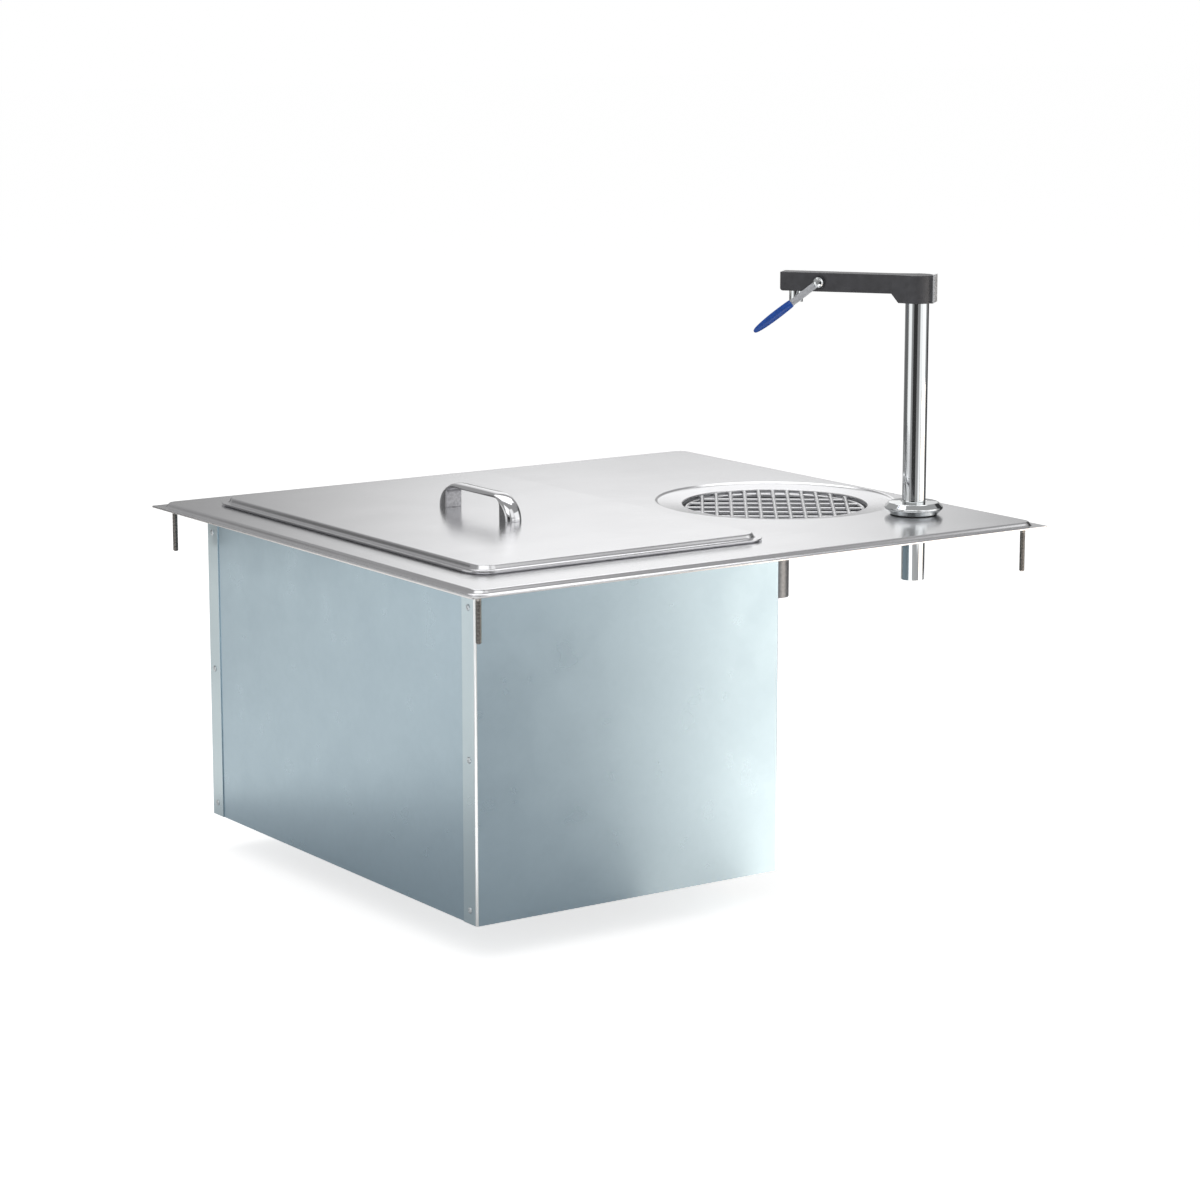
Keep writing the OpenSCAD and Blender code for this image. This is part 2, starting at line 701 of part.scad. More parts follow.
module basin_drain_nipple() {
    color(steel) at_basin() drain_nipple(sump_floor, sump_floor - basin_t - drain_washer_t - drain_nut_h - 1,
        basin_nipple_end);
}

module basin_drain_strainer() {
    color(steel) at_basin() strainer(sump_floor);
}

module basin_drain_washer() {
    color(rubber) at_basin() tube(drain_nut_half, nipple_hole_r,
        sump_floor - basin_t - drain_washer_t, sump_floor - basin_t);
}

module basin_drain_locknut() {
    color(brass) at_basin() hex_nut(drain_nut_half, nipple_r + running_gap,
        sump_floor - basin_t - drain_washer_t - drain_nut_h, drain_nut_h);
}

module hold_down_studs() {
    color(steel) for (x = [-1, 1], y = [-1, 1])
        translate([x * (platform_l / 2 - stud_inset), y * (platform_w / 2 - stud_inset), 0]) {
            translate([0, 0, -stud_drop]) cylinder(r = stud_r, h = stud_drop + platform_under, $fn = 48);
            translate([0, 0, platform_under - 3]) cylinder(r = stud_collar_r, h = 3, $fn = 48);
        }
}

module lid_shell() {
    color(steel) at_bin() difference() {
        union() {
            translate([0, 0, lid_seat]) linear_extrude(lid_t) difference() {
                round_rect(lid_l, lid_w, lid_outer_r);
                round_rect(lid_platform_l + 2 * lid_slope, lid_platform_w + 2 * lid_slope,
                    lid_corner_r + lid_slope);
            }
            sweep_round_rect(lid_platform_l, lid_platform_w, lid_corner_r)
                bent_sheet(0, lid_top, lid_slope, lid_rise, lid_t);
            translate([0, 0, lid_under]) linear_extrude(lid_t)
                round_rect(lid_platform_l, lid_platform_w, lid_corner_r);
        }
        for (y = [-1, 1])
            translate([0, y * handle_foot_y, lid_under - cut])
                cylinder(r = handle_stud_r + 0.15, h = lid_t + 2 * cut, $fn = 48);
    }
}

// Angle frame under the lid: its leg drops into the mouth and keeps the lid in place
module lid_frame() {
    color(steel) at_bin() sweep_round_rect(frame_l, frame_w, frame_r) {
        translate([-lid_t, lid_under - lid_frame_h]) square([lid_t, lid_frame_h]);
        translate([-lid_frame_flange, lid_under - lid_t]) square([lid_frame_flange, lid_t]);
    }
}

module lid_handle() {
    color(chrome) at_bin() translate([0, 0, lid_top]) {
        intersection() {
            translate([handle_w / 2, 0, 0]) rotate([90, 0, -90]) linear_extrude(handle_w) difference() {
                handle_outline();
                translate([0, -cut]) handle_gap();
            }
            linear_extrude(handle_h) round_rect(handle_w, handle_l, handle_soft_r);
            rotate([90, 0, 0]) linear_extrude(handle_l, center = true)
                translate([0, handle_h / 2 - handle_soft_r]) round_rect(handle_w, handle_h + 2 * handle_soft_r, handle_soft_r);
        }
        for (y = [-1, 1])
            translate([0, y * handle_foot_y, -lid_t - handle_nut_h - 2])
                cylinder(r = handle_stud_r, h = lid_t + handle_nut_h + 2 + 1, $fn = 48);
    }
}

// Side outline of the handle: a flat top and two arcs down to the lid
module handle_outline() {
    square([2 * handle_arc_y, 2 * handle_h], center = true);
    square([handle_l, 2 * (handle_h - handle_run)], center = true);
    for (y = [-1, 1])
        translate([y * handle_arc_y, handle_h - handle_run]) circle(handle_run);
}

// Side outline of the space under the handle: upright walls with rounded upper corners
module handle_gap() {
    half = handle_l / 2 - handle_leg_t;
    high = handle_h - handle_t + cut;
    translate([-half, 0]) square([2 * half, high - handle_gap_r]);
    translate([handle_gap_r - half, 0]) square([2 * (half - handle_gap_r), high]);
    for (y = [-1, 1])
        translate([y * (half - handle_gap_r), high - handle_gap_r]) circle(handle_gap_r);
}

module handle_nuts() {
    color(steel) at_bin() for (y = [-1, 1])
        translate([0, y * handle_foot_y, 0])
            hex_nut(handle_stud_r * 1.6, handle_stud_r + running_gap, lid_under - handle_nut_h, handle_nut_h);
}

// Welded wire grate: a ring, cross wires on it and bars over them
module drain_grate() {
    color(steel) at_basin() rotate([0, 0, grate_turn]) {
        translate([0, 0, ring_z]) rotate_extrude() translate([ring_r, 0]) circle(ring_wire_r, $fn = 32);
        for (k = [0 : bar_count - 1])
            grate_rod(bar_r, (k - (bar_count - 1) / 2) * bar_pitch, bar_z);
        rotate([0, 0, 90]) for (k = [0 : cross_count - 1])
            grate_rod(cross_r, (k - (cross_count - 1) / 2) * cross_pitch, cross_z);
    }
}

// Rod along Y at the given X, as long as its chord of the ring
module grate_rod(r, x, z) {
    chord = 2 * sqrt(ring_r * ring_r - x * x) + ring_wire_r;
    translate([x, 0, z]) rotate([90, 0, 0]) cylinder(r = r, h = chord, center = true, $fn = 24);
}

module filler_post() {
    color(chrome) at_post() tube(post_r, post_bore_r, post_end, post_top);
}

// Chamfered deck plate round the post
module deck_plate() {
    foot = deck_rise + 1;
    top = foot + plate_h;
    color(chrome) at_post() rotate_extrude() polygon(concat([[post_r + 0.1, foot], [plate_r - 5.5, foot]],
        arc(plate_r - 2.2, foot + 6.6, 2.2, -50, 35), arc(plate_r - 6, top - 2.4, 2.4, 35, 84),
        [[post_r + 1.6, top + 0.6], [post_r + 0.1, top]]));
}

module deck_plate_gasket() {
    color(rubber) at_post() tube(plate_r - 6.5, post_hole_r, deck_rise, deck_rise + 1);
}

module post_washer() {
    color(rubber) at_post() tube(post_r + 9, post_hole_r, platform_under - 2, platform_under);
}

module post_locknut() {
    color(brass) at_post() hex_nut(post_r + 6, post_r + running_gap, platform_under - 2 - post_nut_h, post_nut_h);
}

// Threaded sleeve in the post's lower end, where the water line screws in
module inlet_adapter() {
    color(brass) at_post() tube(post_bore_r - running_gap, inlet_r, post_end, post_end + inlet_l);
}

// Side outline of the arm: along the arm, and up
module arm_side() {
    corner = 3;
    difference() {
        polygon([[-end_plate_reach, hub_under], [hub_reach, hub_under], [arm_taper, arm_under],
            [arm_reach, arm_under], [arm_reach, arm_top], [-end_plate_reach, arm_top]]);
        translate([arm_reach - corner, arm_under - cut]) square([corner + cut, corner + cut]);
    }
    translate([arm_reach - corner, arm_under + corner]) circle(corner, $fn = 48);
}

// Plan outline of the arm: a round hub that narrows to the arm's width, with a flat boss for the plate at its rear
module arm_plan() {
    circle(hub_r);
    translate([end_plate_t - end_plate_reach, -end_plate_w / 2]) square([end_plate_reach - end_plate_t, end_plate_w]);
    polygon([[0, -hub_r], [arm_taper, -arm_w / 2], [arm_reach, -arm_w / 2], [arm_reach, arm_w / 2],
        [arm_taper, arm_w / 2], [0, hub_r]]);
}

module arm_body() {
    color(black) in_arm() difference() {
        intersection() {
            translate([0, hub_r + cut, 0]) rotate([90, 0, 0]) linear_extrude(2 * hub_r + 2 * cut) arm_side();
            translate([0, 0, hub_under - cut]) linear_extrude(arm_top - hub_under + 2 * cut) arm_plan();
        }
        // Socket for the post, and the water way from it to the valve and on to the nozzle
        translate([0, 0, hub_under - cut]) cylinder(r = post_r + running_gap, h = socket_h + cut);
        translate([0, 0, post_top - cut]) cylinder(r = post_bore_r - 2, h = passage_z + passage_r - post_top + cut);
        along_arm(throat_r - 0.4, 0, shoulder_s + cut, passage_z);
        along_arm(passage_r, shoulder_s, seat_s, passage_z);
        along_arm(throat_r, seat_s - cut, pivot_reach, passage_z);
        along_arm(throat_r, pivot_reach, nozzle_reach, passage_z);
        across_arm(chamber_r, -chamber_half, chamber_half);
        across_arm(shaft_r + running_gap, -shaft_far, 0);
        across_arm(shaft_r + 2, 0, arm_w / 2 + cut);
        translate([nozzle_reach, 0, arm_under - cut])
            cylinder(r = nozzle_r - 2, h = passage_z + throat_r - arm_under + 2 * cut);
    }
}

// Flat metal plate on the arm's rear
module arm_end_plate() {
    color(steel) in_arm() translate([-end_plate_reach, -end_plate_w / 2, hub_under + 1])
        cube([end_plate_t, end_plate_w, arm_top - hub_under]);
}

// Flanged bushing in the arm's side, in which the lever's shaft turns
module shaft_bushing() {
    color(chrome) in_arm() difference() {
        union() {
            across_arm(shaft_r + 2 - meet_gap / 4, chamber_half + 0.5, arm_w / 2 + 0.1);
            across_arm(shaft_r + 3, arm_w / 2, arm_w / 2 + bushing_t);
        }
        across_arm(shaft_r + running_gap, 0, arm_w);
    }
}

module filler_nozzle() {
    color(chrome) in_arm() translate([nozzle_reach, 0, 0]) difference() {
        union() {
            translate([0, 0, arm_under - nozzle_drop]) cylinder(r = nozzle_r, h = nozzle_drop);
            translate([0, 0, arm_under - 0.1]) cylinder(r = nozzle_r - 2 - meet_gap / 4, h = 2);
        }
        translate([0, 0, arm_under - nozzle_drop - cut]) cylinder(r = nozzle_bore_r, h = nozzle_drop + 4);
        translate([0, 0, arm_under - nozzle_drop - cut]) cylinder(r = nozzle_r - 1.2, h = cut + 2);
    }
}

// Turns children from the level by an angle about the lever's pivot, in the arm's frame
module about_pivot(angle) {
    translate([pivot_reach, 0, pivot_z]) rotate([0, angle, 0]) children();
}

// Shaft with a crank inside the arm and a domed head outside
module lever_shaft() {
    head_y = strap_y + strap_t;
    head_r = 5.5;
    head_h = 2.5;
    web = 1.5;
    color(chrome) in_arm() {
        translate([pivot_reach, 0, pivot_z]) rotate([-90, 0, 0]) rotate_extrude() {
            polygon([[0, meet_gap - shaft_far], [shaft_r, meet_gap - shaft_far], [shaft_r, -chamber_half],
                [neck_r, -chamber_half], [neck_r, chamber_half], [shaft_r, chamber_half], [shaft_r, strap_y],
                [neck_r, strap_y], [neck_r, head_y], [head_r, head_y], [head_r, head_y + 0.8],
                [head_r - 1.5, head_y + head_h - 0.4], [head_r - 3.5, head_y + head_h], [0, head_y + head_h]]);
        }
        about_pivot(90 - lever_swing / 2) {
            translate([crank_r, -chamber_half + meet_gap, 0]) rotate([-90, 0, 0])
                cylinder(r = nose_r, h = 2 * (chamber_half - meet_gap), $fn = 48);
            for (y = [-chamber_half + meet_gap, chamber_half - meet_gap - web])
                translate([0, y, -nose_r + 0.4]) cube([crank_r, web, 2 * nose_r - 0.8]);
        }
    }
}

// Strap from the shaft's head down to the grip
module lever_strap() {
    color(steel) in_arm() about_pivot(lever_slope) translate([0, strap_y, 0]) rotate([-90, 0, 0])
        linear_extrude(strap_t) difference() {
            union() {
                circle(strap_w / 2 + 1.5);
                translate([0, -strap_w / 2]) square([strap_end, strap_w]);
                translate([strap_end, 0]) circle(strap_w / 2);
            }
            circle(neck_r + running_gap);
        }
}

// Soft sleeve over the strap's end, drawn in towards its tip
module lever_grip() {
    grip_r = strap_w / 2 + 1.6;
    tip_r = 4;
    color(blue) in_arm() about_pivot(lever_slope) translate([0, strap_y + strap_t / 2, 0]) difference() {
        hull() {
            translate([grip_start + grip_r, 0, 0]) grip_disc(grip_r, 7);
            translate([grip_start + 3 * grip_r, 0, 0]) grip_disc(grip_r, 7.6);
            translate([lever_l - tip_r, 0, 0]) grip_disc(tip_r, 6);
        }
        translate([grip_start - cut, -strap_t / 2, -strap_w / 2])
            cube([strap_end - grip_start + cut, strap_t, strap_w]);
        translate([strap_end, -strap_t / 2, 0]) rotate([-90, 0, 0])
            cylinder(r = strap_w / 2, h = strap_t);
    }
}

// Disc with eased edges that the grip is drawn over
module grip_disc(r, t) {
    rotate([90, 0, 0]) rotate_extrude($fn = soft_fn)
        polygon([[0, -t / 2], [r - 1.6, -t / 2], [r, -t / 2 + 1.8], [r, t / 2 - 1.8], [r - 1.6, t / 2], [0, t / 2]]);
}

// Valve stem: a rod pushed by the crank, four guide fins in the throat, the valve's disc and a spigot
module valve_stem() {
    color(brass) in_arm() {
        along_arm(stem_r, valve_back, stem_end, passage_z);
        along_arm(passage_r - 0.3, valve_back, valve_back + valve_disc_t, passage_z);
        along_arm(1.3, valve_back - spring_l + 3, valve_back + 1, passage_z);
        for (a = [45, 135])
            translate([seat_s + 3, 0, passage_z]) rotate([a, 0, 0]) translate([0, -throat_r + 0.3, -0.5])
                cube([8, 2 * throat_r - 0.6, 1]);
    }
}

module valve_washer() {
    color(rubber) in_arm() difference() {
        along_arm(passage_r - 0.4, valve_back + valve_disc_t, valve_back + valve_disc_t + valve_washer_t, passage_z);
        along_arm(stem_r, valve_back, seat_s, passage_z);
    }
}

// Coil spring with ends ground flat: each level shows the slanting wire as a bent, pointed outline
module valve_spring() {
    coil_r = passage_r - spring_wire_r - 0.6;
    rise = spring_l / spring_turns;
    reach = 360 * spring_wire_r / rise;
    steps = 6;
    function half_width(f) = spring_wire_r * sqrt(1 - f * f);
    outer = [for (k = [-steps : steps]) [reach * k / steps, coil_r + half_width(k / steps)]];
    inner = [for (k = [1 - steps : steps - 1]) [-reach * k / steps, coil_r - half_width(k / steps)]];
    color(steel) in_arm() translate([valve_back - spring_l, 0, passage_z]) rotate([0, 90, 0])
        linear_extrude(spring_l, twist = -360 * spring_turns, slices = 12 * spring_turns, $fn = 12)
            polygon([for (p = concat(outer, inner)) [p[1] * cos(p[0]), p[1] * sin(p[0])]]);
}

deck();
bin_liner();
insulation();
casing_front();
casing_back();
casing_left();
casing_right();
casing_floor();
casing_rivets();
bin_drain_nipple();
bin_drain_strainer();
bin_drain_washer();
bin_drain_locknut();
drip_basin();
basin_drain_nipple();
basin_drain_strainer();
basin_drain_washer();
basin_drain_locknut();
hold_down_studs();
lid_shell();
lid_frame();
lid_handle();
handle_nuts();
drain_grate();
filler_post();
deck_plate();
deck_plate_gasket();
post_washer();
post_locknut();
inlet_adapter();
arm_body();
arm_end_plate();
shaft_bushing();
filler_nozzle();
lever_shaft();
lever_strap();
lever_grip();
valve_stem();
valve_washer();
valve_spring();
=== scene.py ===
import math

import bpy
import bmesh
from mathutils import Matrix, Vector


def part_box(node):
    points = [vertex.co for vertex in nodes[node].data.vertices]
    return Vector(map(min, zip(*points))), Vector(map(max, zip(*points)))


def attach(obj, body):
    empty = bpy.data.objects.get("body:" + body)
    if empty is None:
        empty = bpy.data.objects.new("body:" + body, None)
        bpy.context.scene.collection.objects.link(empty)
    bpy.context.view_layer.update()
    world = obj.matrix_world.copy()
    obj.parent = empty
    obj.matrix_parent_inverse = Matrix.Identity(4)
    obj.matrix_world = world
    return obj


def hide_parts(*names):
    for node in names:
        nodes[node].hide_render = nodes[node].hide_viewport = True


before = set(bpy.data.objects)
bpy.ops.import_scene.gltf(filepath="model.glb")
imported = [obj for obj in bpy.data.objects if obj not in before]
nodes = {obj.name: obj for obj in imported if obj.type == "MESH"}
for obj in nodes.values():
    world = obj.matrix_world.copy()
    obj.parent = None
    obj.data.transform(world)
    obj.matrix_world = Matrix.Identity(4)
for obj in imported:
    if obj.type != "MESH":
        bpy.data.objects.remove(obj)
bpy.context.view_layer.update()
print("scene: frame loaded")

# Places and values that several pieces share, in millimetres and degrees
mm = 0.001
binCentre = (-131.0, 12.0)
postPlace = (277.5, -208.5)
armAngle = 128
leverDrop = 38
sharpAngle = 38
weldDistance = 0.002

scene = bpy.context.scene
scene.view_settings.view_transform = "Standard"


# Colours and node helpers

def linear(hexText):
    parts = [int(hexText[i:i + 2], 16) / 255 for i in (1, 3, 5)]
    return tuple(c / 12.92 if c <= 0.04045 else ((c + 0.055) / 1.055) ** 2.4 for c in parts) + (1.0,)


def add(tree, kind, inputs=None, **settings):
    node = tree.nodes.new(kind)
    for key, value in settings.items():
        setattr(node, key, value)
    for key, value in (inputs or {}).items():
        if isinstance(value, bpy.types.NodeSocket):
            tree.links.new(value, node.inputs[key])
        else:
            node.inputs[key].default_value = value
    return node


def mathOf(tree, operation, a, b=0.0):
    return add(tree, "ShaderNodeMath", {0: a, 1: b}, operation=operation).outputs[0]


def vectorOf(tree, x=0.0, y=0.0, z=0.0):
    return add(tree, "ShaderNodeCombineXYZ", {0: x, 1: y, 2: z}).outputs[0]


def partsOf(tree, vector):
    return add(tree, "ShaderNodeSeparateXYZ", {0: vector}).outputs


def newMaterial(name, metallic=0.0):
    material = bpy.data.materials.new(name)
    material.use_nodes = True
    tree = material.node_tree
    shader = tree.nodes["Principled BSDF"]
    shader.inputs["Metallic"].default_value = metallic
    return material, tree, shader


# The three channels that every finish sets, each a linked value or a constant
def setChannels(tree, shader, tone, roughness, normal):
    for socket, value in (("Base Color", tone), ("Roughness", roughness), ("Normal", normal)):
        if isinstance(value, bpy.types.NodeSocket):
            tree.links.new(value, shader.inputs[socket])
        else:
            shader.inputs[socket].default_value = value


def objectPlace(tree):
    return add(tree, "ShaderNodeTexCoord").outputs["Object"]


# Object coordinates divided by a grain size in millimetres, one for all axes or one for each
def grainSpace(tree, grain):
    sizes = grain if isinstance(grain, tuple) else (grain, grain, grain)
    return add(tree, "ShaderNodeVectorMath", {0: objectPlace(tree), 1: tuple(1 / (g * mm) for g in sizes)},
               operation="MULTIPLY").outputs[0]


def noiseValue(tree, grain, detail=2.0, roughness=0.5, distortion=0.0):
    return add(tree, "ShaderNodeTexNoise", {"Vector": grainSpace(tree, grain), "Scale": 1.0, "Detail": detail,
               "Roughness": roughness, "Distortion": distortion}).outputs["Fac"]


# Nearly all of a noise lies between these two values
noiseSpread = (0.3, 0.7)


def ranged(tree, value, low, high, spread=noiseSpread):
    return add(tree, "ShaderNodeMapRange", {"Value": value, "From Min": spread[0], "From Max": spread[1],
               "To Min": low, "To Max": high}).outputs["Result"]


def tinted(tree, value, dark, light):
    ramp = add(tree, "ShaderNodeValToRGB", {"Fac": value})
    for stop, place, tone in zip(ramp.color_ramp.elements, noiseSpread, (dark, light)):
        stop.position = place
        stop.color = linear(tone)
    return ramp.outputs["Color"]


# Another tone where a value lies below a limit
def tonedBelow(tree, value, limit, tone, other):
    below = mathOf(tree, "LESS_THAN", value, limit)
    return add(tree, "ShaderNodeMix", {"Factor": below, 6: tone, 7: linear(other)},
               data_type="RGBA").outputs[2]


# Bump of a depth in millimetres, over edges that are rounded by a radius in millimetres
def bumped(tree, height, depth, strength=1.0, edge=0.0):
    inputs = {"Height": height, "Distance": depth * mm, "Strength": strength}
    if edge:
        inputs["Normal"] = add(tree, "ShaderNodeBevel", {"Radius": edge * mm}, samples=6).outputs["Normal"]
    return add(tree, "ShaderNodeBump", inputs).outputs["Normal"]


# Materials: tones, roughness from and to, and grain sizes, bump depths and edge radii in millimetres

sheetValues = {"dark": "#dddddf", "light": "#e2e2e4", "roughness": (0.18, 0.24), "grain": (160, 0.5, 0.5),
               "cloud": (90, 60, 60), "depth": 0.004, "edge": 0.5}


# Brushed stainless sheet: long fine grain lines that stretch the reflections, and a faint cloudiness
def brushedSteel(name, values):
    material, tree, shader = newMaterial(name, 1.0)
    lines = noiseValue(tree, values["grain"], 3.0, 0.6)
    clouds = noiseValue(tree, values["cloud"], 2.0)
    setChannels(tree, shader, tinted(tree, clouds, values["dark"], values["light"]),
                ranged(tree, lines, *values["roughness"]),
                bumped(tree, lines, values["depth"], 0.6, values["edge"]))
    return material


panelValues = {"dark": "#a9bdc9", "light": "#b1c5d1", "roughness": (0.27, 0.32), "spangle": 7, "grain": 1.2,
               "cloud": 40, "depth": 0.003, "edge": 0.5}

# The folded strips start at an X, and the bend at an X + Y, both in metres; each gets a painted highlight
# tone
paintedHighlightPanelValues = dict(panelValues, fold=-0.3155, foldTone="#c3d3da", bend=-0.5771, bendHighlightTone="#fbfdfd")


# Galvanised sheet: bluish zinc with a very faint spangle and a soft broad sheen. A folded panel gets
# painted highlights: a lighter tone on its strips and a near-white line along the bend
def galvanised(name, values):
    material, tree, shader = newMaterial(name, 1.0)
    spangle = add(tree, "ShaderNodeTexVoronoi", {"Vector": grainSpace(tree, values["spangle"]), "Scale": 1.0,
                  "Randomness": 1.0}, feature="F1")
    cell = add(tree, "ShaderNodeSeparateColor", {"Color": spangle.outputs["Color"]}).outputs[0]
    tone = tinted(tree, ranged(tree, cell, 0.46, 0.54, (0.0, 1.0)), values["dark"], values["light"])
    # Painted highlights: lighter strips beyond the fold, and a near-white line along the bend
    if "fold" in values:
        place = partsOf(tree, objectPlace(tree))
        tone = tonedBelow(tree, place["X"], values["fold"], tone, values["foldTone"])
        reach = mathOf(tree, "ADD", place["X"], place["Y"])
        tone = tonedBelow(tree, reach, values["bend"], tone, values["bendHighlightTone"])
    clouds = noiseValue(tree, values["cloud"], 2.0)
    setChannels(tree, shader, tone, ranged(tree, clouds, *values["roughness"]),
                bumped(tree, noiseValue(tree, values["grain"], 2.0), values["depth"], 0.4, values["edge"]))
    return material


chromeValues = {"colour": "#e6e9ea", "roughness": (0.035, 0.07), "wipe": (14, 14, 3), "grain": 6,
                "depth": 0.002, "edge": 0.4}


# Polished chrome or stainless: near mirror with faint wiping marks
def chrome(name, values):
    material, tree, shader = newMaterial(name, 1.0)
    wipes = noiseValue(tree, values["wipe"], 3.0, 0.65, 0.6)
    setChannels(tree, shader, linear(values["colour"]), ranged(tree, wipes, *values["roughness"]),
                bumped(tree, noiseValue(tree, values["grain"], 1.0), values["depth"], 0.3, values["edge"]))
    return material


platedValues = {"stain": 3, "grain": 0.4, "depth": 0.01, "edge": 0.25}


# Dull metal, plated, cast or drawn: small stains vary its tone and its gloss together
def platedSteel(name, dark, light, roughness, values=platedValues):
    material, tree, shader = newMaterial(name, 1.0)
    stains = noiseValue(tree, values["stain"], 3.0, 0.6)
    setChannels(tree, shader, tinted(tree, stains, dark, light), ranged(tree, stains, *roughness),
                bumped(tree, noiseValue(tree, values["grain"], 2.0), values["depth"], 0.4, values["edge"]))
    return material


coatValues = {"dark": "#434346", "light": "#4d4d51", "roughness": (0.36, 0.5), "peel": 0.55, "cloud": 9,
              "depth": 0.05, "edge": 1.4}


# Powder coat: near-black satin, its highlights broken by fine orange peel and rounded on the edges
def powderCoat(name, values):
    material, tree, shader = newMaterial(name)
    peel = noiseValue(tree, values["peel"], 3.0, 0.6)
    clouds = noiseValue(tree, values["cloud"], 2.0)
    setChannels(tree, shader, tinted(tree, clouds, values["dark"], values["light"]),
                ranged(tree, peel, *values["roughness"]),
                bumped(tree, peel, values["depth"], 0.7, values["edge"]))
    return material


vinylValues = {"dark": "#194ba3", "light": "#2159ba", "roughness": (0.16, 0.24), "cloud": 5, "peel": 1.4,
               "depth": 0.03}


# Dipped vinyl: glossy blue skin whose colour deepens in soft patches, with a soft orange peel
def dippedVinyl(name, values):
    material, tree, shader = newMaterial(name)
    clouds = noiseValue(tree, values["cloud"], 2.0)
    setChannels(tree, shader, tinted(tree, clouds, values["dark"], values["light"]),
                ranged(tree, clouds, *values["roughness"]),
                bumped(tree, noiseValue(tree, values["peel"], 2.0), values["depth"], 0.5))
    return material


rubberValues = {"dark": "#161617", "light": "#232324", "roughness": (0.6, 0.75), "grain": 0.5, "depth": 0.04,
                "edge": 0.3}


# Moulded rubber: dull black with a fine grain
def blackRubber(name, values):
    material, tree, shader = newMaterial(name)
    grain = noiseValue(tree, values["grain"], 3.0, 0.6)
    setChannels(tree, shader, tinted(tree, grain, values["dark"], values["light"]),
                ranged(tree, grain, *values["roughness"]),
                bumped(tree, grain, values["depth"], 0.6, values["edge"]))
    return material


foamValues = {"dark": "#f3e0b8", "light": "#fdf3da", "roughness": 0.9, "skin": 16, "cell": 0.9, "depth": 0.2}


# Rigid foam: matt cream, cellular, with darker skin patches
def rigidFoam(name, values):
    material, tree, shader = newMaterial(name)
    cells = add(tree, "ShaderNodeTexVoronoi", {"Vector": grainSpace(tree, values["cell"]), "Scale": 1.0},
                feature="F1").outputs["Distance"]
    skin = noiseValue(tree, values["skin"], 3.0)
    setChannels(tree, shader, tinted(tree, skin, values["dark"], values["light"]), values["roughness"],
                bumped(tree, cells, values["depth"], 0.35))
    return material


brassValues = {"dark": "#b38d4c", "light": "#d8b673", "roughness": (0.24, 0.38), "tarnish": 7,
               "turned": (40, 40, 0.35), "depth": 0.01, "edge": 0.3}


# Machined brass: warm, with turning lines, slightly tarnished
def machinedBrass(name, values):
    material, tree, shader = newMaterial(name, 1.0)
    tarnish = noiseValue(tree, values["tarnish"], 3.0, 0.6)
    lines = noiseValue(tree, values["turned"], 2.0)
    setChannels(tree, shader, tinted(tree, tarnish, values["dark"], values["light"]),
                ranged(tree, tarnish, *values["roughness"]),
                bumped(tree, lines, values["depth"], 0.5, values["edge"]))
    return material


deckSteel = brushedSteel("stainless_sheet_brushed", sheetValues)
linerSteel = brushedSteel("stainless_sheet_satin", dict(sheetValues, dark="#b9babc", light="#c6c7c9",
                          roughness=(0.3, 0.38), grain=(1.0, 1.0, 90), edge=0.3))
turnedSteel = brushedSteel("stainless_turned", dict(sheetValues, dark="#b4b5b7", light="#c4c5c7",
                           roughness=(0.2, 0.28), grain=(30, 30, 0.4), edge=0.3))
panelSteel = galvanised("galvanised_sheet", panelValues)
paintedHighlightPanelSteel = galvanised("galvanised_sheet_folded", paintedHighlightPanelValues)
chromePlate = chrome("chrome_plate_polished", chromeValues)
handleSteel = chrome("stainless_polished",
                     dict(chromeValues, colour="#dcdcde", roughness=(0.07, 0.13), edge=0.8))
wireSteel = chrome("stainless_wire_drawn",
                   dict(chromeValues, colour="#d6d6d8", roughness=(0.14, 0.22), edge=0.0))
studSteel = chrome("stainless_studs_bright",
                   dict(chromeValues, colour="#918e8a", roughness=(0.09, 0.15), edge=0.5))
rivetSteel = platedSteel("rivet_aluminium", "#c4ccd0", "#dde2e5", (0.3, 0.4))
handleInside = platedSteel("stainless_unpolished_inside", "#98989b", "#c4c4c7", (0.3, 0.42))
bushingSteel = platedSteel("bushing_sintered_dark", "#3c3c3f", "#6b6b6e", (0.35, 0.5))
endSteel = platedSteel("end_plate_cast", "#c4c5c7", "#e6e7e9", (0.5, 0.65))
pipeSteel = platedSteel("pipe_zinc_dull", "#77797c", "#8f9194", (0.32, 0.45))
boltSteel = platedSteel("zinc_plated_steel", "#8e9193", "#a9acae", (0.3, 0.42))
strapSteel = platedSteel("stamped_steel_strap", "#c4c6ca", "#dcdee2", (0.4, 0.5))
springSteel = platedSteel("spring_wire_hard_drawn", "#75777a", "#909295", (0.2, 0.3))
brass = machinedBrass("brass_turned", brassValues)
rubber = blackRubber("rubber_moulded", rubberValues)
armCoat = powderCoat("powder_coat_satin_black", coatValues)
gripVinyl = dippedVinyl("vinyl_dipped_blue", vinylValues)
foam = rigidFoam("foam_rigid_cream", foamValues)

